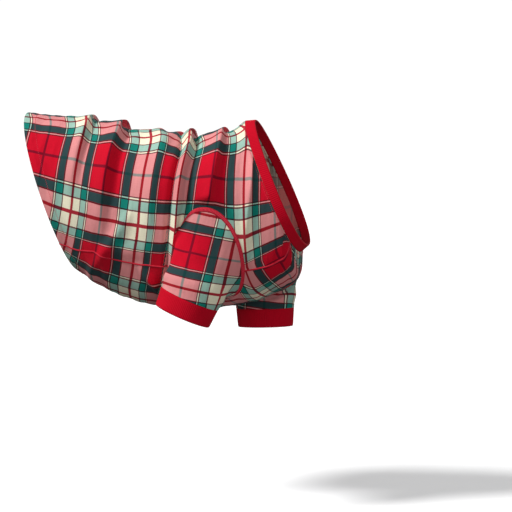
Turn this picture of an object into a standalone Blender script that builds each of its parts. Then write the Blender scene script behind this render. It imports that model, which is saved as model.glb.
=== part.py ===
"""A short-sleeved plaid jumpsuit for a large dog, in the shape that it takes when it is worn.

The cloth is modelled in the pieces that it is sewn from: a back panel that wraps the back and both sides,
a belly panel under it, two sleeves set into armholes, and a ribbed band at each cuff and round the neck.
The right foreleg is swung back and the left one forward, so the two sleeves differ.

+X points to the dog's head, +Y to its left side and +Z up. The origin is on the underside of the cloth where
it rests on the withers. Sizes are in metres. Lengths in the tables are shares of the named sizes above them.
"""

import math
from collections import namedtuple

import bmesh
import bpy
import numpy as np
from mathutils import Vector
from mathutils.geometry import delaunay_2d_cdt

# Main sizes of the garment as worn
BACK_LENGTH = 0.376
CHEST_DEPTH = 0.292
CHEST_WIDTH = 0.215
JERSEY_WALL = 0.0018
RIB_WALL = 0.0026
SEAM_GAP = 0.0008
NECK_SEAM_GAP = 0.0019
SEAM_CLEARANCE = 0.02

# Sleeves and bands
ARMHOLE_WIDTH = 0.112
ARMHOLE_HEIGHT = 0.140
LEG_SPREAD = 0.098
CUFF_LENGTH = 0.099
CUFF_BREADTH = 0.074
CUFF_HEIGHT = 0.031
CUFF_TAPER = 0.95
NECK_BAND_WIDTH = 0.014
NECK_BAND_TAPER = 0.955

# Folds
FOLD_HEIGHT = 0.010
PUFF_HEIGHT = 0.010

# Spacing of the mesh points: folds run down the sides, so the points are close along the back only
STEP_ALONG = 0.0066
STEP_AROUND = 0.028
EDGE_ROW = 0.006
HALF_GIRTH = 0.39
TURNS_ROUND_SLEEVE = 36
TURNS_ROUND_NECK = 44

# Cross-sections of the trunk from the rear hem to the neck seam. Along is a share of BACK_LENGTH from the
# origin, rise a share of CHEST_DEPTH, width a share of CHEST_WIDTH, and egg how much wider the top is.
Station = namedtuple("Station", "top_along top_rise bottom_along bottom_rise width egg")
STATIONS = (
    Station(-0.794, 0.130, -0.566, -0.766, 0.84, 0.06),
    Station(-0.663, 0.116, -0.470, -0.850, 0.88, 0.08),
    Station(-0.531, 0.093, -0.355, -0.918, 0.91, 0.10),
    Station(-0.399, 0.059, -0.233, -0.958, 0.95, 0.14),
    Station(-0.268, 0.028, -0.101, -0.975, 0.99, 0.18),
    Station(-0.136, 0.011, 0.031, -0.975, 1.00, 0.22),
    Station(-0.013, 0.003, 0.154, -0.952, 0.99, 0.22),
    Station(0.075, 0.008, 0.281, -0.907, 0.93, 0.16),
    Station(0.136, 0.037, 0.408, -0.811, 0.87, 0.00),
    Station(0.184, 0.082, 0.426, -0.653, 0.83, -0.20),
)

SECTION_FULLNESS = 0.88

# Rolls of spare cloth across the back. Place is how far along the crest crosses the back, and the rear and
# front widths are how far the roll spreads, as shares of BACK_LENGTH. Height is a share of FOLD_HEIGHT, skew
# how far the crest steps forward from the right side to the left, and reach how far down each side it lasts,
# as a share of the half girth.
Roll = namedtuple("Roll", "place height rear_width front_width skew right_reach left_reach")
ROLLS = (
    Roll(-0.506, 0.60, 0.034, 0.020, 0.012, 0.32, 0.22),
    Roll(-0.368, 0.95, 0.030, 0.016, 0.024, 0.24, 0.28),
    Roll(-0.206, 0.60, 0.044, 0.024, 0.010, 0.26, 0.34),
    Roll(-0.118, 0.50, 0.026, 0.020, -0.012, 0.22, 0.26),
    Roll(-0.060, 0.98, 0.026, 0.016, 0.022, 0.52, 0.28),
    Roll(0.082, 0.62, 0.028, 0.016, 0.024, 0.20, 0.32),
)
# The crests run backwards from the back to the belly by this share of BACK_LENGTH
FOLD_LEAN = 0.125

# Soft swellings of the cloth. Along and rise place the middle, across and tall are the half sizes as shares
# of BACK_LENGTH and CHEST_DEPTH, height is a share of PUFF_HEIGHT, and side -1 is the right one.
Puff = namedtuple("Puff", "along rise across tall height side")
PUFFS = (
    Puff(0.330, -0.700, 0.070, 0.130, 0.25, -1),
    Puff(0.180, -0.320, 0.022, 0.160, 0.35, -1),
    Puff(-0.300, -0.640, 0.120, 0.050, 0.35, -1),
    Puff(-0.250, -0.480, 0.040, 0.220, 0.30, 1),
)

# The side seam between back and belly panel. Where runs from 0 at the hem to 1 at the neck, and turn is the
# share of the half girth from the back's centre line.
SeamPoint = namedtuple("SeamPoint", "where turn")
SIDE_SEAM = (
    SeamPoint(0.00, 0.722),
    SeamPoint(0.12, 0.698),
    SeamPoint(0.25, 0.672),
    SeamPoint(0.50, 0.667),
    SeamPoint(0.74, 0.712),
    SeamPoint(0.88, 0.740),
    SeamPoint(0.94, 0.772),
    SeamPoint(1.00, 0.815),
)

# Each sleeve, its place as shares of BACK_LENGTH and CHEST_DEPTH. Swing turns the leg forward, in degrees.
Sleeve = namedtuple("Sleeve", "side armhole_along armhole_rise armhole_lean base_slant cuff_along cuff_rise swing")
SLEEVES = {
    "right": Sleeve(-1, 0.053, -0.404, 0.000, 0.10, -0.013, -0.895, -23.0),
    "left": Sleeve(1, 0.190, -0.404, 0.200, -0.12, 0.223, -0.997, 1.5),
}
ARMHOLE_FLARE = 0.20
ARMHOLE_BOXINESS = 0.30
SLEEVE_RINGS = 8
SLEEVE_BLOUSE = 0.003

CLOTH_RED = (0.60, 0.02, 0.04, 1.0)
RIB_RED = (0.55, 0.005, 0.02, 1.0)


def smooth_rows(column, where):
    """A smooth curve through a table's column, read at where, from 0 at the first row to 1 at the last."""
    values = np.asarray(column, float)
    last = len(values) - 1
    place = where * last
    row = np.clip(np.floor(place).astype(int), 0, last - 1)
    part = place - row
    before, start = values[np.maximum(row - 1, 0)], values[row]
    end, after = values[row + 1], values[np.minimum(row + 2, last)]
    rise = end - start
    lead_in, lead_out = (end - before) / 2, (after - start) / 2
    bend = 3 * rise - 2 * lead_in - lead_out
    twist = lead_in + lead_out - 2 * rise
    return start + part * (lead_in + part * (bend + part * twist))


def station_at(where):
    """The six columns of STATIONS at a share of the way from hem to neck, in metres."""
    columns = {name: smooth_rows([getattr(s, name) for s in STATIONS], where) for name in Station._fields}
    return Station(
        columns["top_along"] * BACK_LENGTH,
        columns["top_rise"] * CHEST_DEPTH,
        columns["bottom_along"] * BACK_LENGTH,
        columns["bottom_rise"] * CHEST_DEPTH,
        columns["width"] * CHEST_WIDTH / 2,
        columns["egg"],
    )


def bare_trunk(where, turn):
    """The trunk with no folds. Turn runs from 0 on the back to pi under the belly, positive on the left."""
    station = station_at(where)
    height = (1 + np.cos(turn)) / 2
    x = station.bottom_along + (station.top_along - station.bottom_along) * height
    z = station.bottom_rise + (station.top_rise - station.bottom_rise) * height
    y = station.width * np.sign(np.sin(turn)) * np.abs(np.sin(turn)) ** SECTION_FULLNESS * (1 + station.egg * np.cos(turn))
    return np.stack([x, y, z], axis=-1)


def outward(where, turn):
    """Unit normals of the bare trunk."""
    step = 1e-3
    along = bare_trunk(np.minimum(where + step, 1), turn) - bare_trunk(np.maximum(where - step, 0), turn)
    around = bare_trunk(where, turn + step) - bare_trunk(where, turn - step)
    normal = np.cross(along, around)
    return normal / np.linalg.norm(normal, axis=-1, keepdims=True)


def fold_place(points, turn):
    """How far along the body a point lies when measured along the run of the folds."""
    return points[..., 0] / BACK_LENGTH + FOLD_LEAN * np.abs(turn) / math.pi


def roll_height(points, turn):
    """How far the rolls of cloth across the back lift each point."""
    girth_share = turn / math.pi
    lift = np.zeros(len(points))
    for roll in ROLLS:
        off_crest = fold_place(points, turn) - roll.place - roll.skew * np.tanh(4 * girth_share)
        spread = np.where(off_crest < 0, roll.rear_width, roll.front_width)
        reach = np.where(girth_share < 0, roll.right_reach, roll.left_reach)
        lasting = 1 / (1 + np.exp((np.abs(girth_share) - reach) / 0.05))
        lift += FOLD_HEIGHT * roll.height * lasting * np.exp(-((off_crest / spread) ** 2))
    return lift


def puff_height(points):
    """How far the soft swellings lift each point."""
    lift = np.zeros(len(points))
    for puff in PUFFS:
        across = (points[:, 0] / BACK_LENGTH - puff.along) / puff.across
        tall = (points[:, 2] / CHEST_DEPTH - puff.rise) / puff.tall
        same_side = np.clip(puff.side * points[:, 1] / (0.2 * CHEST_WIDTH), 0, 1)
        lift += PUFF_HEIGHT * puff.height * same_side * np.exp(-(across**2) - tall**2)
    return lift


def near_edge(where, turn):
    """1 over most of the cloth, falling to 0 at the hem, the neck seam and the armholes."""
    points = bare_trunk(where, turn)
    calm = np.clip(np.minimum(where, 1 - where) / 0.05, 0, 1)
    for sleeve in SLEEVES.values():
        along, rise = armhole_middle(sleeve)
        across = (points[:, 0] - along) / (0.5 * ARMHOLE_WIDTH)
        tall = (points[:, 2] - rise) / (0.5 * ARMHOLE_HEIGHT)
        far = np.sqrt(across**2 + tall**2)
        on_side = sleeve.side * turn > 0
        calm = np.where(on_side, calm * np.clip((far - 1.05) / 0.25, 0, 1), calm)
    return calm


def folded_trunk(where, turn):
    """The outer face of the trunk's cloth, with its folds."""
    points = bare_trunk(where, turn)
    lift = (roll_height(points, turn) + puff_height(points)) * near_edge(where, turn)
    return points + outward(where, turn) * lift[:, None]


def trunk_place(x, z):
    """The share from hem to neck, and the turn, of the point of the trunk's side that is seen at x and z."""
    low, high = np.zeros_like(x), np.ones_like(x)
    for _ in range(40):
        middle = (low + high) / 2
        station = station_at(middle)
        height = (z - station.bottom_rise) / (station.top_rise - station.bottom_rise)
        behind = station.bottom_along + (station.top_along - station.bottom_along) * height < x
        low, high = np.where(behind, middle, low), np.where(behind, high, middle)
    return middle, np.arccos(np.clip(2 * height - 1, -1, 1))


def where_on_fold_line(place, turn):
    """The share from hem to neck where a line along the run of the folds meets a turn."""
    low, high = np.zeros_like(place), np.ones_like(place)
    for _ in range(40):
        middle = (low + high) / 2
        behind = fold_place(bare_trunk(middle, turn), turn) < place
        low, high = np.where(behind, middle, low), np.where(behind, high, middle)
    return middle


def armhole_middle(sleeve):
    """The middle of an armhole in the side view."""
    along = sleeve.armhole_along * BACK_LENGTH + sleeve.armhole_lean * ARMHOLE_HEIGHT / 2
    return along, sleeve.armhole_rise * CHEST_DEPTH - ARMHOLE_HEIGHT / 2


def armhole(sleeve, angle, inset=0.0):
    """Points of the armhole seam, angle 0 at its top and a quarter turn at its front, as (where, turn)."""
    down = (1 - np.cos(angle)) / 2
    fullness = np.where(down < 0.5, 1.0, 1.0 - ARMHOLE_BOXINESS * (2 * down - 1))
    reach = np.sign(np.sin(angle)) * np.abs(np.sin(angle)) ** fullness
    flare = 1 + ARMHOLE_FLARE * (down - 0.5)
    half = ARMHOLE_WIDTH / 2 - inset
    tall = ARMHOLE_HEIGHT - 2 * inset
    x = sleeve.armhole_along * BACK_LENGTH + sleeve.armhole_lean * ARMHOLE_HEIGHT * down + half * flare * reach
    z = sleeve.armhole_rise * CHEST_DEPTH - inset - tall * down * (1 + sleeve.base_slant * np.sin(angle))
    where, turn = trunk_place(x, z)
    return where, sleeve.side * turn


def mesh_object(name, vertices, faces, colour):
    """An object in the garment's collection, with its own material."""
    mesh = bpy.data.meshes.new(name)
    mesh.from_pydata([tuple(v) for v in vertices], [], faces)
    mesh.validate()
    piece = bpy.data.objects.new(name, mesh)
    garment.objects.link(piece)
    material = bpy.data.materials.new(name)
    material.use_nodes = True
    shader = material.node_tree.nodes["Principled BSDF"]
    shader.inputs["Base Color"].default_value = colour
    shader.inputs["Roughness"].default_value = 0.9
    shader.inputs["Metallic"].default_value = 0.0
    mesh.materials.append(material)
    mesh.shade_smooth()
    return piece


def face_outwards(piece, away_from):
    """Turns the faces of an open sheet so that they point away from a line along its middle."""
    cloth = bmesh.new()
    cloth.from_mesh(piece.data)
    bmesh.ops.recalc_face_normals(cloth, faces=cloth.faces)
    facing = sum((f.calc_center_median() - away_from(f.calc_center_median())).dot(f.normal) for f in cloth.faces)
    if facing < 0:
        bmesh.ops.reverse_faces(cloth, faces=cloth.faces)
    cloth.to_mesh(piece.data)
    cloth.free()


def give_wall(piece, thickness):
    """The cloth's thickness, inwards from the modelled outer face."""
    wall = piece.modifiers.new("wall", "SOLIDIFY")
    wall.thickness = thickness
    wall.offset = -1.0
    wall.use_rim = True


def ring_sheet(name, rings, colour):
    """An open tube through rings of points that have the same count."""
    count = len(rings[0])
    vertices = np.concatenate(rings)
    faces = []
    for ring in range(len(rings) - 1):
        for i in range(count):
            j = (i + 1) % count
            here, there = ring * count, (ring + 1) * count
            faces.append((here + i, here + j, there + j, there + i))
    piece = mesh_object(name, vertices, faces, colour)
    middles = [Vector(r.mean(axis=0)) for r in rings]
    face_outwards(piece, lambda p: min(middles, key=lambda m: (m - p).length))
    return piece


def seam_turn(where):
    """The side seam's turn at a share of the way from hem to neck."""
    return math.pi * np.interp(where, [p.where for p in SIDE_SEAM], [p.turn for p in SIDE_SEAM])


def armhole_ends(sleeve):
    """Where the side seam meets the armhole behind and before the leg, as shares from hem to neck."""
    where, turn = armhole(sleeve, np.linspace(0, 2 * math.pi, 721))
    below = np.abs(turn) > seam_turn(where)
    crossings = where[:-1][below[1:] != below[:-1]]
    return crossings.min(), crossings.max()


def armhole_arc(sleeve, upper):
    """The armhole's edge on the back panel, or on the belly panel, from its rear to its front."""
    angle = np.linspace(0, 2 * math.pi, 97)[:-1]
    angle = np.roll(angle, len(angle) // 2) if upper else angle[::-1]
    where, turn = armhole(sleeve, angle, -SEAM_GAP / 2)
    below_seam = np.abs(turn) - seam_turn(where)
    keep = below_seam < -SEAM_CLEARANCE if upper else below_seam > SEAM_CLEARANCE
    return list(zip(where[keep], np.abs(turn[keep])))


def beside_seam(where, upper):
    """The turn of a panel's edge, half a seam gap away from the seam's middle."""
    step = 1e-3
    turn = seam_turn(where)
    here = bare_trunk(where, turn)
    along = bare_trunk(where + step, seam_turn(where + step)) - here
    around = (bare_trunk(where, turn + step) - here) / step
    along /= np.linalg.norm(along, axis=-1, keepdims=True)
    width_per_turn = np.linalg.norm(np.cross(along, around), axis=-1)
    return turn + (-1 if upper else 1) * SEAM_GAP / 2 / width_per_turn


def panel_edge(side, upper):
    """One long edge of a panel, from the hem to the neck, as (where, turn), cut out for the sleeve."""
    sleeve = SLEEVES["right" if side < 0 else "left"]
    rear, front = armhole_ends(sleeve)
    behind = np.linspace(0, rear, 22)[:-1]
    before = np.linspace(front, 1, 12)[1:]
    edge = list(zip(behind, beside_seam(behind, upper)))
    edge += armhole_arc(sleeve, upper)
    edge += list(zip(before, beside_seam(before, upper)))
    return [(float(w), side * float(t)) for w, t in edge]


def short_turn(turn):
    """The same turn counted the short way round, from the back."""
    return (turn + math.pi) % (2 * math.pi) - math.pi


def inside(polygon, point):
    """Whether a point lies inside a closed outline."""
    x, y = point
    found = False
    for (x1, y1), (x2, y2) in zip(polygon, polygon[1:] + polygon[:1]):
        if (y1 > y) != (y2 > y) and x < x1 + (y - y1) * (x2 - x1) / (y2 - y1):
            found = not found
    return found


def distance_to(polygon, point):
    """The shortest way from a point to an outline."""
    place = np.array(point)
    start = np.array(polygon)
    end = np.roll(start, -1, axis=0)
    run = end - start
    share = np.clip(((place - start) * run).sum(1) / np.maximum((run**2).sum(1), 1e-12), 0, 1)
    return float(np.linalg.norm(start + run * share[:, None] - place, axis=1).min())


def lay_out(outline):
    """Points that fill a flat pattern: its edge, a row just inside the edge, and rows along the folds."""
    edge = [tuple(p) for p in outline.tolist()]
    points = list(edge)
    run = np.roll(outline, -1, axis=0) - np.roll(outline, 1, axis=0)
    into = np.stack([-run[:, 1], run[:, 0]], axis=1) / np.linalg.norm(run, axis=1, keepdims=True)
    if not inside(edge, tuple(outline[5] + into[5] * 1e-4)):
        into = -into
    for spot in (outline + into * EDGE_ROW).tolist():
        if inside(edge, spot) and distance_to(edge, spot) > 0.8 * EDGE_ROW:
            if min(math.dist(spot, p) for p in points[len(edge) :] + [(9, 9)]) > 0.4 * EDGE_ROW:
                points.append(tuple(spot))
    low, high = outline.min(axis=0), outline.max(axis=0)
    for column, along in enumerate(np.arange(low[0], high[0], STEP_ALONG)):
        for around in np.arange(low[1] + STEP_AROUND / 2 * (column % 2), high[1], STEP_AROUND):
            if inside(edge, (along, around)) and distance_to(edge, (along, around)) > 1.6 * EDGE_ROW:
                points.append((along, around))
    return points


def cut_panel(name, outline, colour):
    """Cloth cut to an outline of (where, turn), laid out flat, filled with points and worn."""
    edge_where, edge_turn = np.array(outline).T
    along = fold_place(bare_trunk(edge_where, edge_turn), short_turn(edge_turn)) * BACK_LENGTH
    flat_edge = np.stack([along, edge_turn / math.pi * HALF_GIRTH], axis=1)
    points = np.array(lay_out(flat_edge)) / (STEP_ALONG, STEP_AROUND)
    border = [(i, (i + 1) % len(outline)) for i in range(len(outline))]
    found, _, faces, _, _, _ = delaunay_2d_cdt([Vector(p) for p in points], border, [], 1, 1e-6)
    spots = np.array([tuple(v) for v in found]) * (STEP_ALONG, STEP_AROUND)
    turn = short_turn(spots[:, 1] / HALF_GIRTH * math.pi)
    where = where_on_fold_line(spots[:, 0] / BACK_LENGTH, turn)
    where[: len(outline)] = edge_where
    piece = mesh_object(name, folded_trunk(where, turn), [tuple(f) for f in faces], colour)
    spine = [Vector((float(m[0]), 0.0, float(m[2]))) for m in bare_trunk(np.linspace(0, 1, 9), np.full(9, math.pi / 2))]
    face_outwards(piece, lambda p: min(spine, key=lambda m: abs(m.x - p.x)))
    return piece


def make_back_panel():
    """The upper cloth: over the back and down both sides to the side seams."""
    right, left = panel_edge(-1, True), panel_edge(1, True)
    hem = [(0.0, t) for t in np.linspace(left[0][1], right[0][1], 26)[1:-1]]
    neck = [(1.0, t) for t in np.linspace(right[-1][1], left[-1][1], 32)[1:-1]]
    panel = cut_panel("back_panel", right + neck + left[::-1] + hem, CLOTH_RED)
    give_wall(panel, JERSEY_WALL)


def make_belly_panel():
    """The lower cloth: from side seam to side seam, between the forelegs and up to the neck."""
    right = [(w, t + 2 * math.pi) for w, t in panel_edge(-1, False)]
    left = panel_edge(1, False)
    hem = [(0.0, t) for t in np.linspace(right[0][1], left[0][1], 12)[1:-1]]
    neck = [(1.0, t) for t in np.linspace(left[-1][1], right[-1][1], 8)[1:-1]]
    panel = cut_panel("belly_panel", left + neck + right[::-1] + hem, CLOTH_RED)
    give_wall(panel, JERSEY_WALL)


def leg_direction(sleeve):
    """The way that the foreleg runs down through its sleeve."""
    swing = math.radians(sleeve.swing)
    return np.array([math.sin(swing), 0.0, -math.cos(swing)])


def cuff_ring(sleeve, angle, down, scale):
    """A ring across the foreleg, down from the cuff's seam, angle 0 on the outside and a quarter turn in front."""
    way = leg_direction(sleeve)
    forward = np.array([-way[2], 0.0, way[0]])
    sideways = np.array([0.0, float(sleeve.side), 0.0])
    middle = np.array([sleeve.cuff_along * BACK_LENGTH, sleeve.side * LEG_SPREAD, sleeve.cuff_rise * CHEST_DEPTH])
    return (
        middle
        + way * down
        + np.outer(np.sin(angle), forward) * CUFF_LENGTH / 2 * scale
        + np.outer(np.cos(angle), sideways) * CUFF_BREADTH / 2 * scale
    )


def make_sleeve(name, sleeve):
    """A sleeve from its armhole to its cuff, curving out over the shoulder and down the leg."""
    angle = np.linspace(0, 2 * math.pi, TURNS_ROUND_SLEEVE, endpoint=False)
    where, turn = armhole(sleeve, angle, SEAM_GAP / 2)
    start, normal = folded_trunk(where, turn), outward(where, turn)
    end = cuff_ring(sleeve, angle, -SEAM_GAP / 2, 1.0)
    way = leg_direction(sleeve)
    length = np.linalg.norm(end - start, axis=1, keepdims=True)
    underneath = (1 - np.cos(angle))[:, None] / 2
    leaving = (0.12 + 0.45 * underneath) * normal + way
    leaving /= np.linalg.norm(leaving, axis=1, keepdims=True)
    first = start + leaving * length * 0.36
    second = end - way * length * 0.36
    rings = []
    for share in np.linspace(0, 1, SLEEVE_RINGS + 1):
        back = 1 - share
        ring = back**3 * start + 3 * back**2 * share * first + 3 * back * share**2 * second + share**3 * end
        middle = ring.mean(axis=0)
        swell = SLEEVE_BLOUSE * math.exp(-(((share - 0.82) / 0.12) ** 2))
        away = ring - middle
        away /= np.linalg.norm(away, axis=1, keepdims=True)
        rings.append(ring + away * swell)
    piece = ring_sheet(name, rings, CLOTH_RED)
    give_wall(piece, JERSEY_WALL)


def make_cuff(name, sleeve):
    """The ribbed band round the foreleg."""
    angle = np.linspace(0, 2 * math.pi, TURNS_ROUND_SLEEVE, endpoint=False)
    rings = []
    for share in (0.0, 0.5, 1.0):
        down = SEAM_GAP / 2 + share * (CUFF_HEIGHT - SEAM_GAP / 2)
        rings.append(cuff_ring(sleeve, angle, down, 1 - (1 - CUFF_TAPER) * share))
    piece = ring_sheet(name, rings, RIB_RED)
    give_wall(piece, RIB_WALL)


def make_neck_band():
    """The ribbed band round the neck, on from the trunk's neck seam."""
    turn = np.linspace(-math.pi, math.pi, TURNS_ROUND_NECK, endpoint=False)
    edge = bare_trunk(np.ones_like(turn), turn)
    top, bottom = edge[turn == turn[np.argmin(np.abs(turn))]][0], edge[0]
    slope = (top - bottom) / np.linalg.norm(top - bottom)
    forward = np.array([slope[2], 0.0, -slope[0]])
    middle = edge.mean(axis=0)
    rings = []
    for share in (0.0, 0.5, 1.0):
        scale = 1 - (1 - NECK_BAND_TAPER) * share
        rings.append(middle + (edge - middle) * scale + forward * (NECK_SEAM_GAP + share * NECK_BAND_WIDTH))
    piece = ring_sheet("neck_band", rings, RIB_RED)
    give_wall(piece, RIB_WALL)


def clear_scene():
    """Starts from an empty scene."""
    for old in list(bpy.data.objects):
        bpy.data.objects.remove(old)


clear_scene()
garment = bpy.data.collections.new("dog_jumpsuit")
bpy.context.scene.collection.children.link(garment)
make_back_panel()
make_belly_panel()
for side_name, side_sleeve in SLEEVES.items():
    make_sleeve(f"sleeve_{side_name}", side_sleeve)
    make_cuff(f"cuff_{side_name}", side_sleeve)
make_neck_band()
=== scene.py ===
# %% [markdown]
# # A plaid dog jumpsuit
#
# The garment is a pull-on suit of printed cotton jersey for a large dog: a long back, a belly panel, two
# short sleeves and ribbed bands. It is shown in the form that it has when it is worn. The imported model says
# where each cut of cloth lies, and this lesson gives every cut its folds, print, knit and stitches.

# %% Load the fixed frame
import math
from collections import namedtuple

import bmesh
import bpy
import numpy as np
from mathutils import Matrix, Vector, noise
from mathutils.geometry import delaunay_2d_cdt


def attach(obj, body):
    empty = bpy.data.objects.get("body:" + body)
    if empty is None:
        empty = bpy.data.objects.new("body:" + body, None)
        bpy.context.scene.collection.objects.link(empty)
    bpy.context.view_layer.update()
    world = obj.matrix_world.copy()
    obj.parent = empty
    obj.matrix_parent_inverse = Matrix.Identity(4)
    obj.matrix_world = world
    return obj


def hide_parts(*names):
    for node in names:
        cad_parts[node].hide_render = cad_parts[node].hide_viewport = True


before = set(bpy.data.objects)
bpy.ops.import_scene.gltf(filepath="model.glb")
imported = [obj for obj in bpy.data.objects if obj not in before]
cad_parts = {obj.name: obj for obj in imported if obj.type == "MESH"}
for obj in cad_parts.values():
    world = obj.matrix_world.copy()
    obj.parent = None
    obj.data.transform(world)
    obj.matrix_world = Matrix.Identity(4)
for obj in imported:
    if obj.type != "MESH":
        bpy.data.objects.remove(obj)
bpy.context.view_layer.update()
print("solids:", sorted(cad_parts))

# %% [markdown]
# ## The camera
#
# A camera can be placed by eye or from sums. Here one pixel of the picture is 1.65 mm at the middle of the
# garment, so the lens follows from the distance. The camera stands level with the back, a little towards the
# head and a little above.

# %% Place the camera
PIXEL = 0.00165
PICTURE_SIDE = 512
ORIGIN_COLUMN, ORIGIN_ROW = 205, 135.5
CAMERA_AZIMUTH, CAMERA_ELEVATION = math.radians(10), math.radians(3)
CAMERA_DISTANCE = 3.0

middle_along = (PICTURE_SIDE / 2 - ORIGIN_COLUMN) * PIXEL
middle_up = (ORIGIN_ROW - PICTURE_SIDE / 2) * PIXEL
target = Vector((middle_along * math.cos(CAMERA_AZIMUTH), middle_along * math.sin(CAMERA_AZIMUTH), middle_up))
towards_camera = Vector(
    (
        math.sin(CAMERA_AZIMUTH) * math.cos(CAMERA_ELEVATION),
        -math.cos(CAMERA_AZIMUTH) * math.cos(CAMERA_ELEVATION),
        math.sin(CAMERA_ELEVATION),
    )
)
camera_data = bpy.data.cameras.new("camera")
camera_data.sensor_width = 36
camera_data.lens = camera_data.sensor_width * CAMERA_DISTANCE / (PICTURE_SIDE * PIXEL)
camera_data.clip_end = 60
camera = bpy.data.objects.new("camera", camera_data)
camera.location = target + towards_camera * CAMERA_DISTANCE
camera.rotation_euler = (-towards_camera).to_track_quat("-Z", "Y").to_euler()
bpy.context.scene.collection.objects.link(camera)
bpy.context.scene.camera = camera
print("lens in mm:", round(camera_data.lens, 1))

# %% [markdown]
# ## Light and floor
#
# The picture is a studio one on white. Area lights could stand round the garment, but a sun's light is the
# same everywhere and is easier to balance. The key light comes from above and from the garment's rear, so
# each fold is bright behind its crest and dark before it. A weak light comes from the front, and another one
# reaches the far side. The world and the floor are white to the camera but dim as lights, because a floor
# that is really white throws so much light upwards that the folds and the belly lose their dark sides.

# %% Add the lights
Light = namedtuple("Light", "name power degrees where_from")
LIGHTS = (
    Light("key_light", 3.15, 12, (-0.72, -0.54, 0.86)),
    Light("front_light", 0.80, 30, (0.48, -0.92, 0.20)),
    Light("far_light", 0.90, 40, (0.20, 0.95, 0.16)),
)

for light in LIGHTS:
    light_data = bpy.data.lights.new(light.name, "SUN")
    light_data.energy = light.power
    light_data.angle = math.radians(light.degrees)
    lamp = bpy.data.objects.new(light.name, light_data)
    lamp.rotation_euler = (-Vector(light.where_from)).to_track_quat("-Z", "Y").to_euler()
    bpy.context.scene.collection.objects.link(lamp)
print("lights:", [light.name for light in LIGHTS])

# %% Show the world white and light it dimly
BACKGROUND = 1.05
FILL = 0.23


def show_and_light(tree, output, shown, lit):
    """Shows one shader to the camera and lets another one light the scene."""
    rays = tree.nodes.new("ShaderNodeLightPath")
    choice = tree.nodes.new("ShaderNodeMixShader")
    tree.links.new(rays.outputs["Is Camera Ray"], choice.inputs[0])
    tree.links.new(lit.outputs[0], choice.inputs[1])
    tree.links.new(shown.outputs[0], choice.inputs[2])
    tree.links.new(choice.outputs[0], output.inputs["Surface"])


world = bpy.data.worlds.new("studio")
world.use_nodes = True
world_nodes = world.node_tree.nodes
seen = world_nodes["Background"]
seen.inputs["Color"].default_value = (1, 1, 1, 1)
seen.inputs["Strength"].default_value = BACKGROUND
fill = world_nodes.new("ShaderNodeBackground")
fill.inputs["Color"].default_value = (0.97, 0.98, 1.0, 1)
fill.inputs["Strength"].default_value = FILL
show_and_light(world.node_tree, world_nodes["World Output"], seen, fill)
bpy.context.scene.world = world
bpy.context.scene.view_settings.view_transform = "Standard"
print("the world's light:", FILL)

# %% Lay the floor
FLOOR_HEIGHT = -0.617
FLOOR_HALF_SIDE = 30.0
FLOOR_BOUNCE = 0.14
FLOOR_GLOW = 0.25


def new_object(name, vertices, edges, faces):
    """An object with a mesh of its own, linked to the scene."""
    mesh = bpy.data.meshes.new(name)
    mesh.from_pydata([tuple(v) for v in vertices], edges, faces)
    made = bpy.data.objects.new(name, mesh)
    bpy.context.scene.collection.objects.link(made)
    return made


def make_floor():
    """A wide flat floor, which isn't part of the object."""
    half = FLOOR_HALF_SIDE
    corners = [(-half, -half), (half, -half), (half, half), (-half, half)]
    floor = new_object("floor", [(x, y, FLOOR_HEIGHT) for x, y in corners], [], [(0, 1, 2, 3)])
    paint = bpy.data.materials.new("white_floor")
    paint.use_nodes = True
    nodes = paint.node_tree.nodes
    shader = nodes["Principled BSDF"]
    shader.inputs["Base Color"].default_value = (0.93, 0.93, 0.93, 1)
    shader.inputs["Roughness"].default_value = 0.9
    shader.inputs["Emission Color"].default_value = (1, 1, 1, 1)
    shader.inputs["Emission Strength"].default_value = FLOOR_GLOW
    dim = nodes.new("ShaderNodeBsdfDiffuse")
    dim.inputs["Color"].default_value = (FLOOR_BOUNCE, FLOOR_BOUNCE, FLOOR_BOUNCE, 1)
    show_and_light(paint.node_tree, nodes["Material Output"], shader, dim)
    floor.data.materials.append(paint)


make_floor()
print("height of the floor in m:", FLOOR_HEIGHT)

# %% [markdown]
# ## Shader sums written as Python
#
# A material is a graph of nodes, and a print such as a tartan needs many small sums. A class that wraps one
# output lets the sums be written as expressions, and one method makes any other node.


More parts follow.
